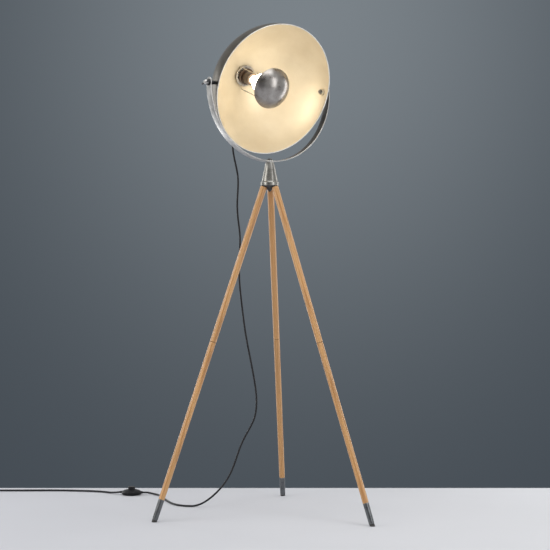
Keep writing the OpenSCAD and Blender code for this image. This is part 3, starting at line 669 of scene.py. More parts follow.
# %% [markdown]
# ## The foot switch
# A foot switch is a weighted disc on the floor with a dished cover, a seam where the cover meets
# the base and a round button that travels three millimetres. It is moulded in black plastic with
# a satin skin, and the button is a little glossier from being trodden on. Turned outlines give
# all three, and two ribbed bushings grip the flex where it goes in and out.

# %% Foot switch
satin_black = moulded("satin_black", (0.003, 0.003, 0.0045), rough=0.42, grain=1100.0, gloss=0.16)
button_black = moulded("button_black", (0.005, 0.005, 0.0065), rough=0.36, grain=1600.0, gloss=0.22)
FLEX_IN_SWITCH = 8 * MM  # height of the flex's middle where it goes in
FLUTES, FLUTE_DEEP = 24, 0.25
switch_at = middle("switch_base") * (1, 1, 0)
switch_place = placing(switch_at, upright, (1, 0, 0))
switch_base = turned("switch_base_shell", [
    (0, 0.1), (26.8, 0.1, 0.8), (30.5, 2, 1.5), (32.4, 4.8, 1.0), (32.4, 6.3, 0.4),
    (31.6, 6.45, 0.2), (0, 6.45),
], switch_place, "stand", satin_black, replaces=("switch_base",), slot="black_plastic")
switch_cover = turned("switch_cover_shell", [
    (31.6, 6.6, 0.2), (32.5, 6.7, 0.3), (32.8, 8.2, 1.2), (31.4, 11, 2.0), (27, 13.8, 2.0),
    (24.5, 14.9, 0.8), (22.6, 15.2, 0.6), (20, 16.3, 1.5), (14.6, 17.3, 0.6), (12.4, 17.4, 0.5),
    (12.4, 15.8, 0.2), (19.4, 14.7, 1.0), (26, 12.4, 1.0), (30, 9.6, 1.0),
], switch_place, "stand", satin_black, closed=True, around=96, replaces=("switch_cover",),
    slot="black_plastic")


def button_grip(radius, angle, along):
    """Shallow flutes round the button's side: r - 0.25 max(0, cos 24a) above the flange."""
    on_side = (radius > 11) & (along > 15.5) & (along < 24.6)
    return radius - FLUTE_DEEP * np.maximum(0, np.cos(FLUTES * angle)) * on_side


switch_button = turned("switch_button_cap", [
    (0, 26.6), (6, 26.65, 2), (9.2, 26.95, 0.8), (11.0, 26.3, 0.9), (11.5, 24.6, 0.6),
    (11.5, 15.4, 0.2), (13.5, 15.1, 0.3), (13.5, 13.5, 0.3), (9.1, 13.5, 0.2), (9.1, 18.8, 0.2),
    (0, 18.8),
], switch_place, "switch_button", button_black, around=144, reshape=button_grip,
    replaces=("switch_button",), slot="black_plastic")


RIB_DEEP, RIB_FILLET, RIB_TAPER = 0.7, 0.35, 0.6


def ribbed(start, end, low, high, ribs):
    """Corner list of a ribbed sleeve. Ribs and grooves take turns from start to end, and their
    radius falls evenly from high by 0.6 of the way to low."""
    at = np.linspace(start, end, 2 * ribs + 1)
    fall = np.linspace(0, 1, 2 * ribs + 1) * (high - low) * RIB_TAPER
    radius = np.where(np.arange(2 * ribs + 1) % 2 == 0, high, high - RIB_DEEP) - fall
    return [(r, s, RIB_FILLET) for r, s in zip(radius, at)]


for side in (-1, 1):
    place = placing(switch_at + (0, 0, FLEX_IN_SWITCH), (side, 0, 0), (0, 0, 1))
    outline = [(3.05, 25), (4.5, 25, 0.2), (4.5, 32.4, 0.3), *ribbed(32.8, 37.4, 3.7, 4.4, 3),
               (3.6, 37.9, 0.2), (3.05, 37.9)]
    turned("switch_bushing_" + ("in" if side > 0 else "out"), outline, place,
                           "stand", cord_sheath, closed=True, around=40, slot="cord_sheath")
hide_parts("switch_bushings")

# %% [markdown]
# ## The plug
# The flex ends in a flat two-pin plug. Its moulded body is widest where fingers hold it and has
# grip ribs across it. The body is one section carried from the pins to the sleeve: a rounded
# rectangle, |x / w|^n + |z / t|^n = 1 with n = 4, whose half width w and half thickness t change
# along the way. The pins have a black insulating sleeve at the root and a round metal tip.

# %% Plug
PLUG_X, PLUG_FACE, PLUG_BACK, PLUG_T = -1015, 237, 272, 14
PLUG_LONG, PIN_FROM_MIDDLE = PLUG_BACK - PLUG_FACE, 9.3
END_ROUND_FRONT, END_ROUND_BACK = 1.6, 1.4
RIB_FROM, RIB_TO, RIB_APART, GRIP_DEEP = 13, 28, 3, 0.35
plug_black = moulded("plug_black", (0.010, 0.010, 0.012), rough=0.48, grain=1000.0, gloss=0.3)
bright_pin = metal("bright_pin", (0.62, 0.61, 0.58), (0.72, 0.71, 0.68), (0.8, 0.8, 0.8),
                   rough=0.22, fineness=9.0)


def rounded_box_section(half_width, half_height, power, around=64):
    """Points of |x/w|^n + |y/h|^n = 1: x = w sign(cos a) |cos a|^(2/n), y likewise with sin."""
    angle = np.linspace(0, 2 * np.pi, around, endpoint=False)
    c, s = np.cos(angle), np.sin(angle)
    x = np.sign(c) * np.abs(c) ** (2 / power)
    y = np.sign(s) * np.abs(s) ** (2 / power)
    return np.stack([half_width[:, None] * x, half_height[:, None] * y], axis=-1)


distance = np.concatenate([[0, 0.25, 0.8], np.linspace(1.6, 33.6, 48), [34.4, 34.85, PLUG_LONG]])
half_width = np.interp(distance, [0, 12, 16, 20, 26, 31, PLUG_LONG],
                       [17.2, 17.4, 16.9, 14.8, 12.4, 9.2, 6.6])
half_thick = np.interp(distance, [0, 14, 24, PLUG_LONG], [6.9, 6.9, 6.6, 6.2])
near_front = np.clip(1 - distance / END_ROUND_FRONT, 0, 1)
near_back = np.clip(1 - (PLUG_LONG - distance) / END_ROUND_BACK, 0, 1)
ends = 1 - near_front**2 * 0.10 - near_back**2 * 0.18
gripped = (distance > RIB_FROM) & (distance < RIB_TO)
ribs = GRIP_DEEP * np.maximum(0, np.cos((distance - 20) * 2 * np.pi / RIB_APART)) * gripped
path = np.stack([np.full_like(distance, PLUG_X), PLUG_FACE + distance,
                 np.full_like(distance, PLUG_T / 2)], axis=1) * MM
section = rounded_box_section((half_width - ribs) * ends, half_thick * ends, 4.0) * MM
across, up = np.broadcast_to([1.0, 0, 0], path.shape), np.broadcast_to([0, 0, 1.0], path.shape)
plug_body = swept("plug_moulding", path, section, "stand", plug_black, sides=(None, across, up),
                  replaces=("plug_body",), slot="plug_plastic")
sleeve_place = placing(np.array([PLUG_X, PLUG_BACK, PLUG_T / 2]) * MM, (0, 1, 0), (1, 0, 0))
plug_sleeve = turned("plug_sleeve", [
    (3.05, -0.6), (6.2, -0.6, 0.4), (5.9, 1.6, 0.4), *ribbed(2.2, 16.6, 3.8, 5.7, 6),
    (3.7, 17.6, 0.3), (3.05, 17.8),
], sleeve_place, "stand", plug_black, closed=True, around=40, slot="plug_plastic")
for letter, side in (("a", -1), ("b", 1)):
    pin_at = np.array([PLUG_X + side * PIN_FROM_MIDDLE, PLUG_FACE, PLUG_T / 2]) * MM
    place = placing(pin_at, (0, -1, 0), (1, 0, 0))
    turned("plug_pin_" + letter, [
        (0, -1), (1.94, -1), (1.94, 9.9), (1.98, 10.0), (1.98, 17.4, 1.0), (1.2, 18.95, 0.8),
        (0, 19),
    ], place, "stand", bright_pin, around=32, slot="plug_pin_metal")
    turned("plug_pin_sleeve_" + letter, [
        (1.95, -0.5), (2.0, -0.5), (2.0, 9.8, 0.05), (1.95, 9.95),
    ], place, "stand", plug_black, closed=True, around=32, slot="plug_plastic")
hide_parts("plug_pins")
print("plug body", round(2 * half_width.max(), 1), "mm wide")

# %% [markdown]
# ## The tie round the coil
# A coil of flex is kept together with a narrow wrap tie. It is a band round the flex's turns:
# the turns' cross-section is twelve millimetres square, and the tie follows it with round
# corners.

# %% Coil tie
TIE_WIDTH, TIE_SIDES, TIE_SQUARE = 9.0, 72, 5.0
tie_angle = math.radians(-150)
tie_out = np.array([math.cos(tie_angle), math.sin(tie_angle), 0.0])
turns = np.array(COIL_TURNS, float)
tie_centre = np.array([*COIL_AT, turns[:, 1].mean()]) + turns[:, 0].mean() * tie_out
tie_in, tie_outer = rounded_box_section(np.array([6.05, 6.65]), np.array([5.85, 5.98]), TIE_SQUARE,
                                        around=TIE_SIDES)
half = TIE_WIDTH / 2
rings = [(tie_in, -half), (tie_outer, -half), (tie_outer, half), (tie_in, half)]
tangent = np.array([-tie_out[1], tie_out[0], 0.0])
tie_points = np.stack([
    tie_centre + ring[:, :1] * tie_out + ring[:, 1:] * upright + shift * tangent
    for ring, shift in rings]) * MM
tie = build("coil_tie", tie_points, grid_faces(len(rings), TIE_SIDES, rows_wrap=True), "stand",
            satin_black, local=tie_points.reshape(-1, 3), lay=tie_points.reshape(-1, 3) / MM,
            edge=np.zeros(len(rings) * TIE_SIDES), slot="cord_sheath")
print("tie is", TIE_WIDTH, "mm wide")

# %% The flex's whole length
print("all flex:", round(length_of(lamp_flex) + length_of(plug_flex_path), 2), "m")

# %% [markdown]
# ## The studio
# The room is only a pale floor and a cool grey wall that is lit from above, so that the lamp
# stands out against it. The light is soft: a bright, even sky all round, a wide panel high on
# the left and a narrower one on the right that draw the highlights along the metal and the legs.
# The wall has only a front: seen from behind it is clear, so that it never hides the lamp.

# %% Floor, wall and light
WALL_FROM_CAMERA = 4.92
WALL_HALF, WALL_TOP = 1.6, 2.4
GLOW_AT, GLOW_WIDE, GLOW_HIGH = (0.085, 1.648), 0.96, 1.116
WALL_DIM, WALL_LIT = (0.056, 0.069, 0.084), (0.198, 0.226, 0.249)
# The floor's two tones, left and right, are painted light: a fall of light across the floor.
FLOOR_SHADED_LEFT, FLOOR_LIT_RIGHT = (0.51, 0.52, 0.56), (0.675, 0.685, 0.715)
bpy.context.scene.view_settings.view_transform = "Standard"

floor_finish, tree, shader = new_finish("floor_paint_and_painted_light")
place = add(tree, "TexCoord").outputs["Object"]
worn_paint = noise(tree, place, 3.0, detail=5.0)
# Painted light: the floor's colour darkens towards the left and brightens towards the right.
to_right = add(tree, "SeparateXYZ", Vector=place).outputs["X"]
painted_light_across = add(tree, "MapRange", Value=to_right, From_Min=-1.0, From_Max=0.9)
tone = ramp(tree, painted_light_across.outputs[0], (0.0, FLOOR_SHADED_LEFT), (1.0, FLOOR_LIT_RIGHT))
smudged = ramp(tree, worn_paint, (0.3, 0.98), (0.7, 1.0))
tone = between(tree, 1.0, tone, smudged, "MULTIPLY")
fine_grain = noise(tree, place, 500.0, detail=2.0)
plug_in(tree, shader, Base_Color=tone, Roughness=sums(tree, "MULTIPLY_ADD", worn_paint, 0.1, 0.6),
        Normal=bumped(tree, fine_grain, 0.0001, 0.3))
shader.inputs["Specular IOR Level"].default_value = 0.2


def flat_sheet(name, corners, finish, local):
    """A four-cornered sheet of the studio, which isn't part of the lamp."""
    sheet = build(name, corners, np.array([[0, 1, 2, 3]]), None, finish, local=local,
                  turned_over=False)
    return sheet


floor_corners = np.array([[-6, -7, 0], [6, -7, 0], [6, 6, 0], [-6, 6, 0]], float)
floor_corners[:, 2] = -0.0005
flat_sheet("studio_floor", floor_corners, floor_finish, floor_corners)

wall_finish = bpy.data.materials.new("wall_glow")
wall_finish.use_nodes = True
tree = wall_finish.node_tree
tree.nodes.remove(tree.nodes["Principled BSDF"])
off_centre = add(tree, "Attribute", {"attribute_name": "local"}).outputs["Vector"]
squared = add(tree, "VectorMath", {"operation": "DOT_PRODUCT"}, in0=off_centre, in1=off_centre)
falling_off = sums(tree, "POWER", math.e, sums(tree, "MULTIPLY", squared.outputs["Value"], -1.0))
glow = add(tree, "Emission", Color=between(tree, falling_off, (*WALL_DIM, 1), (*WALL_LIT, 1)))
clear = add(tree, "BsdfTransparent")
behind = add(tree, "NewGeometry").outputs["Backfacing"]
mixed = add(tree, "MixShader", in0=behind, in1=glow.outputs[0], in2=clear.outputs[0])
tree.links.new(mixed.outputs[0], tree.nodes["Material Output"].inputs["Surface"])
wall_side = np.array([looking[1], -looking[0], 0.0])
wall_foot = CAMERA_AT * (1, 1, 0) + WALL_FROM_CAMERA * looking
wall_across = np.array([-WALL_HALF, WALL_HALF, WALL_HALF, -WALL_HALF])
wall_up = np.array([0, 0, WALL_TOP, WALL_TOP])
wall_corners = wall_foot + wall_across[:, None] * wall_side + wall_up[:, None] * upright
from_glow = np.stack([(wall_across - GLOW_AT[0]) / GLOW_WIDE, (wall_up - GLOW_AT[1]) / GLOW_HIGH,
                      0 * wall_up], axis=1)
wall = flat_sheet("studio_wall", wall_corners, wall_finish, from_glow)
wall.visible_diffuse = False
wall.visible_glossy = False
wall.visible_shadow = False

sky = bpy.data.worlds.new("studio_sky")
sky.use_nodes = True
sky.node_tree.nodes["Background"].inputs["Color"].default_value = (1.0, 1.0, 1.0, 1)
sky.node_tree.nodes["Background"].inputs["Strength"].default_value = 0.44
bpy.context.scene.world = sky


def panel(name, at, towards, size, power, colour):
    """A soft panel of light at one place that faces another."""
    light = bpy.data.lights.new(name, "AREA")
    light.shape = "RECTANGLE"
    light.size, light.size_y = size
    light.energy = power
    light.color = colour
    made = bpy.data.objects.new(name, light)
    facing_matrix = placing(at, np.array(at) - np.array(towards), (1.0, 0.3, 0.05))
    made.matrix_world = Matrix(facing_matrix.tolist())
    bpy.context.scene.collection.objects.link(made)
    return made


panels = [
    panel("key_panel", (-3.0, -1.9, 2.0), (0, 0, 0.9), (1.2, 2.8), 46.0, (1.0, 0.985, 0.96)),
    panel("fill_panel", (2.9, -2.2, 1.7), (0, 0, 0.9), (0.9, 2.6), 27.0, (1.0, 1.0, 1.0)),
    panel("top_panel", (0.2, -0.8, 3.7), (0, 0, 0.5), (2.4, 2.4), 58.0, (1.0, 1.0, 1.0)),
    panel("edge_panel_left", (-1.7, 1.2, 0.9), (0, 0, 0.8), (0.4, 2.0), 11.0, (1.0, 1.0, 1.0)),
    panel("edge_panel_right", (1.7, 1.2, 0.9), (0, 0, 0.8), (0.4, 2.0), 11.0, (1.0, 1.0, 1.0)),
]

# The dark side of the room, behind the camera: only shiny surfaces see it.
dark_finish = bpy.data.materials.new("dark_room")
dark_finish.use_nodes = True
tree = dark_finish.node_tree
tree.nodes.remove(tree.nodes["Principled BSDF"])
dim = ramp(tree, noise(tree, add(tree, "TexCoord").outputs["Object"], 0.7), (0.3, 0.03), (0.7, 0.06))
tree.links.new(add(tree, "Emission", Color=dim).outputs[0],
               tree.nodes["Material Output"].inputs["Surface"])
DARK_LEFT, DARK_RIGHT, DARK_BACK, DARK_TOP = -3.3, 1.1, -6.2, 4.5
dark_corners = np.array([[DARK_LEFT, DARK_BACK, 0], [DARK_RIGHT, DARK_BACK, 0],
                         [DARK_RIGHT, DARK_BACK, DARK_TOP], [DARK_LEFT, DARK_BACK, DARK_TOP]])
dark_room = flat_sheet("dark_room_side", dark_corners, dark_finish, dark_corners)
for seen_by in ("camera", "diffuse", "shadow", "transmission"):
    setattr(dark_room, "visible_" + seen_by, False)
print("light panels:", ", ".join(item.name for item in panels))

# %% [markdown]
# ## The finishes of the lamp
# Each finish is named for its place on the lamp. The hub is satin nickel, the yoke strip is an
# aged silver plate, and the shade is gunmetal outside and warm cream lacquer inside. Legs are
# beech under a thin clear lacquer.

# %% Metals, plastics and paints
satin_nickel = metal("satin_nickel", (0.28, 0.272, 0.250), (0.41, 0.40, 0.37), (0.74, 0.74, 0.71),
                     rough=0.30, fineness=7.0, clouds=30.0)
aged_silver = metal("aged_silver", (0.50, 0.495, 0.48), (0.74, 0.73, 0.71), (0.92, 0.92, 0.90),
                    rough=0.32, fineness=5.0, wear=0.42, clouds=55.0, depth=0.00003)
# Darker silver for the inside of the yoke strip: painted shade and a painted reflection of the shade's dark back.
dark_silver = metal("dark_silver", (0.07, 0.068, 0.064), (0.13, 0.128, 0.122), (0.5, 0.5, 0.49),
                    rough=0.36, fineness=5.0, wear=0.42, clouds=55.0)
gunmetal = metal("gunmetal", (0.100, 0.090, 0.073), (0.185, 0.168, 0.139), (0.48, 0.45, 0.40),
                 rough=0.36, fineness=3.0, wear=0.3, clouds=24.0)
bowl_steel = metal("bowl_steel", (0.33, 0.305, 0.285), (0.47, 0.45, 0.43), (0.8, 0.79, 0.77),
                   rough=0.28, fineness=5.0, clouds=45.0)
satin_steel = metal("satin_steel", (0.14, 0.147, 0.155), (0.22, 0.23, 0.24), (0.60, 0.61, 0.62),
                    rough=0.28, fineness=8.0, clouds=50.0)
zinc = metal("zinc", (0.30, 0.29, 0.27), (0.44, 0.43, 0.41), (0.8, 0.8, 0.8), rough=0.28,
             fineness=9.0, clouds=120.0)
black_steel = moulded("black_steel", (0.018, 0.018, 0.019), rough=0.34, grain=2200.0, gloss=0.6)
bakelite = moulded("bakelite", (0.055, 0.032, 0.020), rough=0.30, grain=900.0, coat=0.3)
cage_nickel = metal("cage_nickel", (0.50, 0.46, 0.40), (0.64, 0.60, 0.53), (0.8, 0.78, 0.74),
                    rough=0.26, fineness=4.0, clouds=90.0)

rim_silver = metal("rim_silver", (0.82, 0.79, 0.73), (0.92, 0.90, 0.85), (0.95, 0.95, 0.94),
                   rough=0.42, fineness=3.0, clouds=80.0, metallic=0.35)

cream, tree, shader = new_finish("cream_lacquer")
place, lay, edge = where(tree)
patches = effect(tree, mottle, Place=place, Size=14.0)
tone = between(tree, patches.outputs["Clouds"], (0.70, 0.605, 0.445, 1), (0.76, 0.67, 0.51, 1))
rubbed = effect(tree, edge_wear, Edge=edge, Place=place, Amount=0.32).outputs["Worn"]
tone = between(tree, rubbed, tone, (0.62, 0.55, 0.45, 1))
peel = noise(tree, place, 420.0, detail=2.0)
spun = effect(tree, brush_marks, Lay=lay, Fineness=0.8).outputs["Lines"]
skin = sums(tree, "ADD", sums(tree, "MULTIPLY", peel, 0.5), sums(tree, "MULTIPLY", spun, 0.5))
plug_in(tree, shader, Base_Color=tone, Normal=bumped(tree, skin, 0.00008, 0.5),
        Roughness=sums(tree, "MULTIPLY_ADD", patches.outputs["Clouds"], 0.08, 0.34))
shader.inputs["Metallic"].default_value = 0.22
shader.inputs["Coat Weight"].default_value = 0.15
shader.inputs["Coat Roughness"].default_value = 0.25
print("finishes so far:", len(bpy.data.materials))

# %% [markdown]
# ## Beech
# Beech is pale and even, with growth rings a couple of millimetres apart that show as soft long
# bands on a turned dowel, and with many short dark flecks that run with the grain. The rings are
# the distance from a pith that lies outside the dowel, sin(2 pi d / 2.6 mm), bent by a slow
# noise. Fibres and flecks are noises drawn out along the leg. Each leg is cut from another
# place in the same wood.

# %% Beech finish
RING_APART = 2.6 * MM
beech, tree, shader = new_finish("beech")
place, _, edge = where(tree)
slow = noise(tree, stretched(tree, place, (60, 60, 5)), 1.0, detail=4.0)
from_pith = add(tree, "VectorMath", {"operation": "MULTIPLY"}, in0=place, in1=(1, 1, 0.012))
distance_out = add(tree, "VectorMath", {"operation": "LENGTH"}, in0=from_pith.outputs[0])
phase = sums(tree, "MULTIPLY", distance_out.outputs["Value"], 2 * math.pi / RING_APART)
phase = sums(tree, "ADD", phase, sums(tree, "MULTIPLY", slow, 9.0))
rings_seen = sums(tree, "MULTIPLY_ADD", sums(tree, "SINE", phase), 0.5, 0.5)
fibres = noise(tree, stretched(tree, place, (1500, 1500, 22)), 1.0, detail=4.0, roughness=0.65)
flecks = noise(tree, stretched(tree, place, (2100, 2100, 230)), 1.0, detail=1.0)
fleck_mask = ramp(tree, flecks, (0.62, 0.0), (0.70, 1.0))
ring_tone = ramp(tree, rings_seen, (0.0, (0.68, 0.375, 0.145)), (0.72, (0.62, 0.325, 0.118)),
                 (1.0, (0.50, 0.24, 0.080)))
board = ramp(tree, slow, (0.35, 0.86), (0.65, 1.0))
tone = between(tree, 1.0, ring_tone, board, "MULTIPLY")
tone = between(tree, 0.42, tone, ramp(tree, fibres, (0.3, 0.55), (0.62, 1.0)), "MULTIPLY")
tone = between(tree, sums(tree, "MULTIPLY", fleck_mask, 0.5), tone, (0.26, 0.115, 0.045, 1))
plug_in(tree, shader, Base_Color=tone, Normal=bumped(tree, fibres, 0.00004, 0.35),
        Roughness=sums(tree, "MULTIPLY_ADD", fibres, 0.18, 0.34))
shader.inputs["Coat Weight"].default_value = 0.45
shader.inputs["Coat Roughness"].default_value = 0.2
print("beech has", len(tree.nodes), "nodes")

# %% [markdown]
# ## Legs
# Each leg is two tapered dowels joined by a threaded stud, with a thin black washer between
# them, so that the lamp packs flat. A steel ferrule covers the foot of the leg, and a rubber pad
# in it stands on the floor. All of it is turned about the leg's own axis.

# %% Legs
JOINT_LOW, JOINT_HIGH, LEG_TOP, FERRULE_TOP = 551.5, 552.5, 1044.3, 68.0
for number, (name, place) in enumerate(legs.items()):
    turned("leg_upper_" + name + "_dowel", [
        (0, JOINT_HIGH), (9.5, JOINT_HIGH, 0.5), (9.65, 553.6, 0.4), (10.2, LEG_TOP),
        (0, LEG_TOP),
    ], place, "stand", beech, grain=(0.024, 0.011 * number - 0.008, 0.9 * number),
        replaces=("leg_upper_" + name,), slot="leg_wood")
    turned("leg_lower_" + name + "_dowel", [
        (0, 40), (7.8, 40), (7.9, 67.9), (8.9, FERRULE_TOP), (9.6, 550.4, 0.4),
        (9.45, JOINT_LOW, 0.5), (0, JOINT_LOW),
    ], place, "stand", beech, grain=(0.026, 0.012 * number - 0.005, 0.9 * number + 3.0),
        replaces=("leg_lower_" + name,), slot="leg_wood")
    turned("foot_ferrule_" + name + "_tube", [
        (0, 6), (7.2, 6, 0.4), (8.2, 8, 0.8), (8.96, 66.4, 0.2), (9.0, 67.0, 0.3),
        (8.6, FERRULE_TOP, 0.3), (8.0, FERRULE_TOP), (0, FERRULE_TOP),
    ], place, "stand", satin_steel, replaces=("foot_ferrule_" + name,), slot="foot_metal")
washer_ring = [(4.2, JOINT_LOW), (9.1, JOINT_LOW, 0.2), (9.1, JOINT_HIGH, 0.2),
               (4.2, JOINT_HIGH)]
joint_washers = [turned("leg_joint_washer_" + name, washer_ring, place, "stand", cord_sheath,
                        closed=True, slot="black_plastic") for name, place in legs.items()]
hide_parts("leg_joint_washers")
print("three legs,", round(LEG_TOP * MM, 3), "m long")

# %% [markdown]
# ## Hub and swivel
# The legs meet in a turned metal cone with a straight band round its foot. A black core inside
# it holds the threads. On top, a nylon washer lets the yoke swivel, and a black bolt with a
# spring washer keeps it just stiff enough.

# %% Hub and swivel
HUB_R = 28
turned("hub_cone_turning", [
    (0, 1060), (12.2, 1060, 0.5), (13, 1059.2, 0.6), (25.4, 1001.6, 1.4), (27.3, 1000.2, 0.8),
    (HUB_R, 999.0, 0.6), (HUB_R, 990.1, 0.5), (27.5, 989.5, 0.3), (26.6, 989.5, 0.2), (26.6, 998.6),
    (0, 998.6),
], hub, "stand", satin_nickel, around=120, replaces=("hub_cone",), slot="hub_metal")
nylon = moulded("nylon", (0.62, 0.61, 0.57), rough=0.42, grain=700.0)
turned("swivel_slide_ring", [
    (4.2, 1060), (11.5, 1060, 0.3), (11.5, 1061.4, 0.3), (4.2, 1061.4),
], hub, "stand", nylon, closed=True, replaces=("swivel_slide_washer",), slot="nylon")
print("hub is", 2 * HUB_R, "mm across")

# %% [markdown]
# ## The yoke
# The yoke is one flat steel strip, 25 by 3 millimetres, bent to a half circle. Its middle line
# is a half circle of radius R about a point just below the pivot, with short straight ends, and
# the section is a rectangle with small round corners. Towards each tip the half width falls as
# sqrt(w^2 - d^2), where d is the distance past the last full section, so that the ends are
# round. The brush lines run along the strip. The inner face, which looks at the shade's dark back,
# gets a darker finish on one column of faces: painted shade and a painted dark reflection.

# %% Yoke strip
YOKE_R, YOKE_WIDTH, YOKE_T, YOKE_CORNER, CORNER_POINTS = 215, 25, 3, 0.6, 6
ARC_BELOW, STRAIGHT_ABOVE = -8, 3


def strip_section(half_width, half_thickness, corner):
    """Rounded rectangle: each quarter is its corner's centre plus corner * (cos a, sin a)."""
    quarter = np.linspace(0, np.pi / 2, CORNER_POINTS)
    angle = np.concatenate([quarter + turn * np.pi / 2 for turn in range(4)])
    sign_x = np.repeat([1, -1, -1, 1], CORNER_POINTS)
    sign_y = np.repeat([1, 1, -1, -1], CORNER_POINTS)
    flat = np.maximum(half_width - corner, 0.02)[:, None] * sign_x
    high = (half_thickness - corner) * sign_y
    return np.stack([flat + corner * np.cos(angle), high + corner * np.sin(angle) + 0 * flat], axis=-1)


half_strip = YOKE_WIDTH / 2
bend = np.linspace(np.pi, 2 * np.pi, 181)
arc = np.stack([YOKE_R * np.cos(bend), 0 * bend, ARC_BELOW + YOKE_R * np.sin(bend)], axis=1)
tip = half_strip * np.sin(np.linspace(0, math.radians(88), 24))
rise = np.concatenate([np.linspace(ARC_BELOW, STRAIGHT_ABOVE, 6)[1:-1], STRAIGHT_ABOVE + tip])
right_end = np.stack([np.full_like(rise, YOKE_R), 0 * rise, rise], axis=1)
strip_line = np.concatenate([right_end[::-1] * (-1, 1, 1), arc, right_end])
past = np.maximum(strip_line[:, 2] - STRAIGHT_ABOVE, 0)
half_here = np.sqrt(np.maximum(half_strip**2 - past**2, 0.16))
going = unit(np.gradient(strip_line, axis=0))
outward = np.cross(going, (0, 1, 0))
across_strip = np.broadcast_to([0.0, 1.0, 0.0], going.shape)
spin = yoke[:3, :3]
strip_section_here = strip_section(half_here, YOKE_T / 2, YOKE_CORNER) * MM
corner_mask = np.tile([0, 0.6, 1, 1, 0.6, 0], 4)
strip = swept("yoke_strip", placed(strip_line * MM, yoke), strip_section_here, "yoke",
              [aged_silver, dark_silver], sides=(None, across_strip @ spin.T, outward @ spin.T),
              edge=np.tile(corner_mask, len(strip_line)), replaces=("yoke_band",),
              slot="yoke_metal")
INNER_FLAT = CORNER_POINTS - 1  # the column between the section's first and second corners
END_CAPS = 2  # the last two faces
# The inner face's darker silver is painted shade: it stands for the shade's dark back reflected close by.
face = np.arange(len(strip.data.polygons))
shaded_inner_face = (face % strip_section_here.shape[1] == INNER_FLAT) & (face < len(face) - END_CAPS)
strip.data.polygons.foreach_set("material_index", shaded_inner_face.astype(np.int32))
strip.data.update()
turned("yoke_seat", [
    (0, 1061.5), (11.6, 1061.5, 0.3), (12, 1061.9, 0.4), (12, 1064.6, 0.5), (11.4, 1065.1, 0.3),
    (0, 1065.1),
], hub, "yoke", aged_silver, slot="yoke_metal")
print("yoke strip is", round(length_of(strip_line) * MM, 3), "m long when flat")

# %% [markdown]
# ## The shade
# The shade is spun from sheet steel. Its outline is a superellipse, r = 200 sin(u)^(2/1.8) and
# s = 26 - 180 cos(u)^(2/1.8), which is fuller than a cone and flatter than a ball. The wall is
# 0.9 mm: the inner surface is the outer one moved in along its normal. The edge is rolled into
# a small bead, and a flat seat at the back takes the lamp holder. One mesh carries both paints:
# gunmetal on the outer rows and cream lacquer on the inner ones.

# %% Shade
SHADE_R, SHADE_DEEP, SHADE_RIM, SHADE_POWER, SHADE_WALL = 200, 180, 26, 2 / 1.8, 0.9
SEAT_R, SEAT_FLAT_R, HOLE_R, BEAD_R, BEAD_IN = 14, 9.0, 5.05, 1.6, 1.2
SHADE_SIDES, BEAD_STEPS = 176, 20


def shade_curve(u):
    """Radius and place along the axis: 200 sin(u)^(2/1.8), 26 - 180 cos(u)^(2/1.8)."""
    return np.stack([SHADE_R * np.sin(u) ** SHADE_POWER,
                     SHADE_RIM - SHADE_DEEP * np.cos(u) ** SHADE_POWER], axis=-1)


seat_u = math.asin((SEAT_R / SHADE_R) ** (1 / SHADE_POWER))
outer = shade_curve(np.linspace(seat_u, math.radians(89.4), 110))
along = unit(np.gradient(outer, axis=0))
inner = outer + SHADE_WALL * np.stack([-along[:, 1], along[:, 0]], axis=1)
bead_angle = np.radians(np.linspace(-42, 222, BEAD_STEPS))
bead = np.stack([SHADE_R - BEAD_IN + BEAD_R * np.cos(bead_angle),
                 SHADE_RIM + BEAD_R * np.sin(bead_angle)], axis=1)
seat_back, seat_front = outer[0, 1], outer[0, 1] + SHADE_WALL
back_hole = np.array([[HOLE_R, seat_back], [SEAT_FLAT_R, seat_back]])
front_hole = np.array([[SEAT_FLAT_R, seat_front], [HOLE_R, seat_front]])
shade_line = np.concatenate([back_hole, outer[:-1], bead, inner[-3::-1], front_hole])
rim_edge = np.concatenate([np.zeros(len(outer) + 1), np.sin(np.linspace(0, np.pi, BEAD_STEPS)),
                           np.zeros(len(inner))])
shade = turned("shade_shell", None, head, "head", [gunmetal, rim_silver, cream], closed=True,
               around=SHADE_SIDES, line=(shade_line, rim_edge), replaces=("shade_dome",),
               slot="shade_metal")
# Along the outline come first gunmetal, then the bare bead, then cream, from these rows on.
bead_row = len(outer) + 1
bare_from, cream_from = bead_row + 6, bead_row + BEAD_STEPS - 2
rows = np.repeat(np.arange(len(shade_line)), SHADE_SIDES)
painted = (rows >= bare_from).astype(np.int32) + (rows >= cream_from)
shade.data.polygons.foreach_set("material_index", painted.astype(np.int32))
shade.data.update()
print("shade:", len(shade.data.polygons), "faces, opening", round(2 * SHADE_R * MM, 2), "m")

# %% [markdown]
# ## Pivots and the clamping knob
# The shade hangs on two screws in line. On one side a plain button-head bolt goes through the
# yoke, a spacer and the wall of the shade into a nut. On the other side the screw has a boss
# with a cross bar, so that a hand can clamp the tilt. A hexagon is a turning whose radius is
# f / 2 / cos(b), where f is the size across flats and b the angle from the nearest flat's
# middle. The turned chamfer on a nut cuts its corners back near both faces.

# %% Pivots and knob
SIX = math.pi / 3
CHAMFER_SLOPE = 1.7


def hexagon(flats, low, high):
    """A radius rule for a nut between two heights: f / 2 / cos(b), but never beyond a cone that
    starts just outside the flats at each face and widens by 1.7 for each 1 inwards."""

    def rule(radius, angle, along):
        off = (angle + SIX / 2) % SIX - SIX / 2
        corner = flats / 2 / np.cos(off)
        depth = np.minimum(along - low, high - along)
        cut = flats / 2 * 1.01 + CHAMFER_SLOPE * np.maximum(depth, 0)
        return np.where(radius > flats / 2 - 0.3, np.minimum(corner, cut), radius)

    return rule


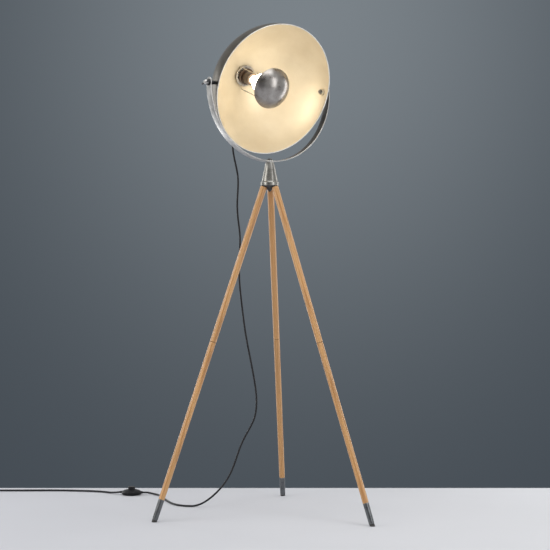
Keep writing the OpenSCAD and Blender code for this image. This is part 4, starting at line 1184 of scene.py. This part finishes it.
def nut(name, place, body, finish, flats, low, high, bore, **also):
    """A hexagon nut with chamfered corners and a countersunk bore."""
    outside = [(flats / 2, s) for s in np.linspace(low, high, 9)]
    outline = [(bore, low + 0.6, 0.1), (bore + 0.5, low, 0.1), (flats / 2 - 0.35, low, 0.1),
               *outside, (flats / 2 - 0.35, high, 0.1), (bore + 0.5, high, 0.1),
               (bore, high - 0.6, 0.1)]
    return turned(name, outline, place, body, finish, closed=True, around=96,
                  reshape=hexagon(flats, low, high), **also)


def ring(name, place, body, finish, inside, outside, low, high, **also):
    """A plain washer or spacer with broken edges."""
    return turned(name, [(inside, low, 0.15), (outside, low, 0.3), (outside, high, 0.3),
                         (inside, high, 0.15)], place, body, finish, closed=True, **also)


right_pivot = placing(PIVOT, PIVOT_AXIS, upright)
left_pivot = placing(PIVOT, -PIVOT_AXIS, upright)
sides = {"right": right_pivot, "left": left_pivot}
nuts = [nut("pivot_nut_" + side, place, "head", zinc, 10, 184, 189, 3.05,
            slot="steel_fasteners") for side, place in sides.items()]
washers = [ring("pivot_washer_" + side, place, "head", zinc, 3.2, 8, 189, 190.6,
                slot="steel_fasteners") for side, place in sides.items()]
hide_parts("pivot_nuts")
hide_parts("pivot_washers")
turned("pivot_bolt_turning", [
    (0, 181.5), (2.4, 181.5, 0.3), (2.95, 182.2, 0.2), (2.95, 216.5), (6.4, 216.6, 0.2),
    (6.5, 217.9, 0.7), (5.6, 219.8, 1.0), (3.6, 221.0, 0.8), (0, 221.3),
], right_pivot, "head", zinc, replaces=("pivot_bolt",), slot="steel_fasteners")
turned("knob_screw_turning", [
    (0, 181.5), (2.4, 181.5, 0.3), (2.95, 182.2, 0.2), (2.95, 219.5), (6.2, 219.6, 0.3),
    (6.8, 221.6, 0.6), (6.8, 228.6, 0.8), (5.2, 231.4, 1.0), (3.6, 232.3, 0.6), (0, 232.6),
], left_pivot, "tilt_knob", aged_silver, replaces=("knob_screw",), slot="knob_boss")
ring("knob_washer_ring", left_pivot, "tilt_knob", cord_sheath, 3.2, 10, 216.6, 219.6,
     replaces=("knob_washer",), slot="black_plastic")
BAR_TURN, BAR_OUT = math.radians(30), 225.6 * MM
bar_direction = math.cos(BAR_TURN) * head[:3, 2] + math.sin(BAR_TURN) * head[:3, 1]
bar_place = placing(PIVOT - PIVOT_AXIS * BAR_OUT, bar_direction, PIVOT_AXIS)
turned("knob_cross_bar", [
    (0, -23), (1.9, -23, 0.5), (3, -21.6, 1.2), (3, -6.9, 0.2), (3, 6.9, 0.2),
    (3, 21.6, 1.2), (1.9, 23, 0.5), (0, 23),
], bar_place, "tilt_knob", black_steel, around=48, replaces=("knob_bar",), slot="knob_black")
print("pivot screws turn about", np.round(PIVOT_AXIS, 3))

# %% [markdown]
# ## Lamp holder and strain relief
# The holder is moulded bakelite: a domed cap against the shade, a body and a fluted ring that
# clamps the cage's plate. Behind the shade a threaded nipple carries a hexagon nut and a soft
# strain relief whose tail is cut into ribs, so that the flex bends in a wide curve.

# %% Holder and gland
turned("holder_cap_moulding", [
    (5.05, -152.2), (12, -152.2, 1.0), (20, -148.2, 2.0), (23, -146.2, 1.2), (23, -143.3, 0.4),
    (5.05, -143.3),
], head, "head", bakelite, closed=True, replaces=("holder_cap",), slot="holder_bakelite")
turned("holder_body_moulding", [
    (14, -143.2), (20, -143.2, 0.3), (20, -104.5, 1.0), (19.2, -100, 1.0), (18.5, -97.3, 0.8),
    (15.0, -97.3, 0.8), (14, -98.6, 0.3),
], head, "head", bakelite, closed=True, around=96, replaces=("holder_body",),
    slot="holder_bakelite")


def ring_flutes(radius, angle, _):
    """Finger flutes round the clamping ring: r - 0.8 max(0, cos 20a) on its outside."""
    return radius - 0.8 * np.maximum(0, np.cos(20 * angle)) * (radius > 24)


turned("holder_ring_moulding", [
    (20.1, -141.7), (25.2, -141.7, 0.5), (26, -140.8, 0.5), (26, -132.8, 0.8), (25, -131.8, 0.5),
    (20.1, -131.8, 0.3),
], head, "head", bakelite, closed=True, around=160, reshape=ring_flutes,
    replaces=("holder_ring",), slot="holder_bakelite")
gland_outline = [(3.05, -157.2), (8.4, -157.2, 0.3), (9, -158.2, 0.5), (9, -166.2, 0.8),
                 (7.8, -168.2, 0.8), (5.9, -169.2, 0.5), *ribbed(-170.4, -190.2, 4.0, 5.7, 7),
                 (3.9, -191.1, 0.4), (3.05, -191.1)]
turned("cord_gland_tail", gland_outline, head, "head", cord_sheath, closed=True, around=56,
       replaces=("cord_gland",), slot="cord_sheath")
nut("nipple_nut", head, "head", zinc, 15, -157.1, -153.2, 5.05, replaces=("nipple_nuts",),
    slot="steel_fasteners")
holder_low, holder_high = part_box("holder_body")
print("holder body's box:", np.round(np.array(holder_high) - np.array(holder_low), 3), "m")

# %% [markdown]
# ## Cage and bowl
# Three wires spring from a plate behind the holder, bend forwards and carry a small spun bowl
# in front of the bulb. The bowl is a cap of a sphere: with its rim's radius a and its depth h,
# the sphere's radius is (a^2 + h^2) / 2h.

# %% Cage and bowl
BOWL_R, BOWL_RIM, BOWL_TIP, BOWL_WALL = 62, 12, 46, 1.0
FACE_STEPS, LIP_STEPS, LIP_R = 48, 9, 0.75
bowl_depth = BOWL_TIP - BOWL_RIM
ball_r = (BOWL_R**2 + bowl_depth**2) / (2 * bowl_depth)
ball_at = BOWL_TIP - ball_r
swing = np.linspace(0, math.asin(BOWL_R / ball_r), FACE_STEPS)
front_face = np.stack([ball_r * np.sin(swing), ball_at + ball_r * np.cos(swing)], axis=1)
back_face = np.stack([(ball_r - BOWL_WALL) * np.sin(swing),
                      ball_at + (ball_r - BOWL_WALL) * np.cos(swing)], axis=1)
lip_turn = np.linspace(0.6, 3.6, LIP_STEPS)
lip = np.stack([BOWL_R - 0.45 + LIP_R * np.sin(lip_turn),
                BOWL_RIM - 0.1 + LIP_R * np.cos(lip_turn)], axis=1)
bowl_line = np.concatenate([front_face[:-1], lip, back_face[-2::-1]])
bowl_edge = np.concatenate([np.zeros(FACE_STEPS - 1), np.sin(np.linspace(0, np.pi, LIP_STEPS)),
                            np.zeros(FACE_STEPS - 1)])
turned("bowl_shell", None, head, "head", bowl_steel, around=120, line=(bowl_line, bowl_edge),
       replaces=("bowl_reflector",), slot="bowl_metal")
turned("cage_plate_disc", [
    (14.2, -143.2), (32.2, -143.2, 0.5), (33, -142.8, 0.3), (33, -141.9, 0.3), (32.3, -141.7, 0.3),
    (14.2, -141.7),
], head, "head", cage_nickel, closed=True, replaces=("cage_plate",), slot="cage_metal")
WIRE_R, WIRE_OUT, WIRE_START, WIRE_BEND, WIRE_BACK = 1.4, 42, 27.5, 6, -140.3
corner = np.linspace(0, np.pi / 2, 12)
wire_bend = np.stack([WIRE_OUT - WIRE_BEND + WIRE_BEND * np.sin(corner),
                      WIRE_BACK + WIRE_BEND - WIRE_BEND * np.cos(corner)], axis=1)
wire_in = np.stack([np.linspace(WIRE_START, WIRE_OUT - WIRE_BEND, 4)[:-1],
                    np.full(3, WIRE_BACK)], axis=1)
meets = ball_at + math.sqrt((ball_r - BOWL_WALL) ** 2 - WIRE_OUT**2) - 0.6
wire_run = np.stack([np.full(24, WIRE_OUT),
                     np.linspace(WIRE_BACK + WIRE_BEND, meets, 25)[1:]], axis=1)
wire_line = np.concatenate([wire_in, wire_bend, wire_run])
for name, degrees in (("low", -102), ("right", 18), ("left", 138)):
    a = math.radians(degrees)
    path = np.stack([wire_line[:, 0] * math.cos(a), wire_line[:, 0] * math.sin(a),
                     wire_line[:, 1]], axis=1) * MM
    swept("cage_wire_" + name + "_bent", placed(path, head), disc(WIRE_R * MM, 16), "head",
          cage_nickel, replaces=("cage_wire_" + name,), slot="cage_metal")
print("bowl is part of a ball of radius", round(ball_r, 1), "mm")

# %% [markdown]
# ## The bulb
# The bulb is lit: its opal glass glows warm white, a little weaker towards the neck. The glass
# is a ball that runs into the neck along a cubic curve. The cap has the round screw thread of
# every such bulb: r = 12.65 + 0.5 cos(2 pi s / 3.6 - a) makes it one start, rising with the angle.

# %% Bulb
lit_glass, tree, shader = new_finish("lit_opal_glass")
place, _, _ = where(tree)
height = add(tree, "SeparateXYZ", Vector=place).outputs["Z"]
to_tip = add(tree, "MapRange", Value=height, From_Min=-0.100, From_Max=-0.015)
warm = ramp(tree, to_tip.outputs[0], (0.0, (0.60, 0.45, 0.28)), (0.35, (1.0, 0.90, 0.72)),
            (1.0, (1.0, 0.93, 0.80)))
opal = ramp(tree, noise(tree, place, 90.0), (0.3, (0.86, 0.82, 0.75)), (0.7, (0.92, 0.89, 0.83)))
plug_in(tree, shader, Base_Color=opal, Emission_Color=warm, Roughness=0.18)
shader.inputs["Emission Strength"].default_value = 12.0
BALL_R, BALL_AT, NECK_R, NECK_AT = 30, -45.26, 12.2, -100.26
THREAD_PITCH, THREAD_DEEP, THREAD_TOP_R = 3.6, 0.5, 13.15
sweep = np.linspace(0, math.radians(125), 44)
ball = np.stack([BALL_R * np.sin(sweep), BALL_AT + BALL_R * np.cos(sweep)], axis=1)
heading = np.array([math.cos(sweep[-1]), -math.sin(sweep[-1])])
knots = np.array([ball[-1], ball[-1] + 13 * heading, (NECK_R, NECK_AT + 16), (NECK_R, NECK_AT)])
k = np.linspace(0, 1, 24)[1:, None]
neck = ((1 - k) ** 3 * knots[0] + 3 * k * (1 - k) ** 2 * knots[1]
        + 3 * k**2 * (1 - k) * knots[2] + k**3 * knots[3])
bulb_line = np.concatenate([ball, neck, [[0, NECK_AT]]])
turned("bulb_envelope", None, head, "head", lit_glass, around=72,
       line=(bulb_line, np.zeros(len(bulb_line))), replaces=("bulb_glass",), slot="bulb_glass")


def screw_thread(radius, angle, along):
    """The rolled thread: r = 12.65 + 0.5 cos(2 pi s / 3.6 - a) between the plain ends."""
    fades = np.clip((-98.5 - along) / 2, 0, 1) * np.clip((along + 116.5) / 2, 0, 1)
    wave = 1 - np.cos(2 * np.pi * along / THREAD_PITCH - angle)
    return radius - THREAD_DEEP * fades * wave * (radius > 12)


thread_line = [(0, -118.2), (7, -118.2, 0.8), (13.0, -116.2, 0.8),
               *[(THREAD_TOP_R, s) for s in np.linspace(-115.6, -98.2, 60)],
               (THREAD_TOP_R, -97.0, 0.4),
               (12.4, -96.3, 0.3), (0, -96.3)]
cap_metal = metal("cap_metal", (0.60, 0.59, 0.56), (0.72, 0.71, 0.69), (0.85, 0.85, 0.84),
                  rough=0.24, fineness=6.0)
turned("bulb_cap_thread", thread_line, head, "head", cap_metal, reshape=screw_thread,
       replaces=("bulb_cap",), slot="bulb_cap_metal")
print("bulb is", 2 * BALL_R, "mm across")

# %% [markdown]
# ## The spring under the switch button
# A coil of steel wire pushes the button back up. A wire is a round section carried along a
# helix. A real spring squashes towards its foot as the button goes down; this piece keeps its shape.

# %% Return spring
SPRING_R, SPRING_WIRE, SPRING_TURNS = 5, 0.5, 5
SPRING_FOOT, SPRING_TOP, BUTTON_TRAVEL = 6.7, 18.7, 3
turn = np.linspace(0, SPRING_TURNS, 24 * SPRING_TURNS + 1)
rise = (SPRING_TOP - SPRING_FOOT - 2 * SPRING_WIRE) / SPRING_TURNS
helix = np.stack([SPRING_R * np.cos(2 * np.pi * turn), SPRING_R * np.sin(2 * np.pi * turn),
                  SPRING_FOOT + SPRING_WIRE + rise * turn], axis=1) * MM + switch_at
return_spring = swept("switch_return_spring", helix, disc(SPRING_WIRE * MM, 10), "stand", zinc,
                      replaces=("switch_spring",), slot="steel_fasteners")
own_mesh(return_spring)

# %% [markdown]
# ## Parts that keep their engineering shape
# Small plain parts, and those that sit inside others, are right as they are. They only get a
# finish, which reads the part's own coordinates, so no two of them look alike.

# %% Finishes of the engineering parts
cad_steel = metal("cad_steel", (0.46, 0.46, 0.45), (0.60, 0.60, 0.60), (0.8, 0.8, 0.8),
                  rough=0.28, fineness=3.0, clouds=150.0, cad=True)
cad_brass = metal("cad_brass", (0.58, 0.42, 0.18), (0.74, 0.56, 0.28), (0.86, 0.72, 0.44),
                  rough=0.26, fineness=3.0, clouds=110.0, cad=True)
cad_black = moulded("cad_black", (0.016, 0.016, 0.018), rough=0.44, grain=1100.0, cad=True)
cad_bolt = moulded("cad_bolt", (0.020, 0.020, 0.022), rough=0.30, grain=2600.0, gloss=0.7, cad=True)
cad_rubber = moulded("cad_rubber", (0.030, 0.029, 0.028), rough=0.66, grain=800.0, cad=True)
cad_saddle = moulded("cad_saddle", (0.64, 0.55, 0.40), rough=0.40, grain=600.0, cad=True)
cad_ceramic = moulded("cad_ceramic", (0.58, 0.55, 0.50), rough=0.30, grain=500.0, coat=0.3, cad=True)
FINISH_OF_SLOT = {
    "steel_fasteners": cad_steel, "black_plastic": cad_black, "black_bolt": cad_bolt,
    "foot_rubber": cad_rubber, "saddle_lacquer": cad_saddle, "brass": cad_brass,
    "bulb_insulator": cad_ceramic, "bulb_mount": cad_ceramic,
}
kept = []
for name, node in frame["nodes"].items():
    if node.hide_render:
        continue
    for material_slot in node.material_slots:
        material_slot.material = FINISH_OF_SLOT[material_slot.material.name]
    kept.append(name)
print("kept as they are:", ", ".join(kept))
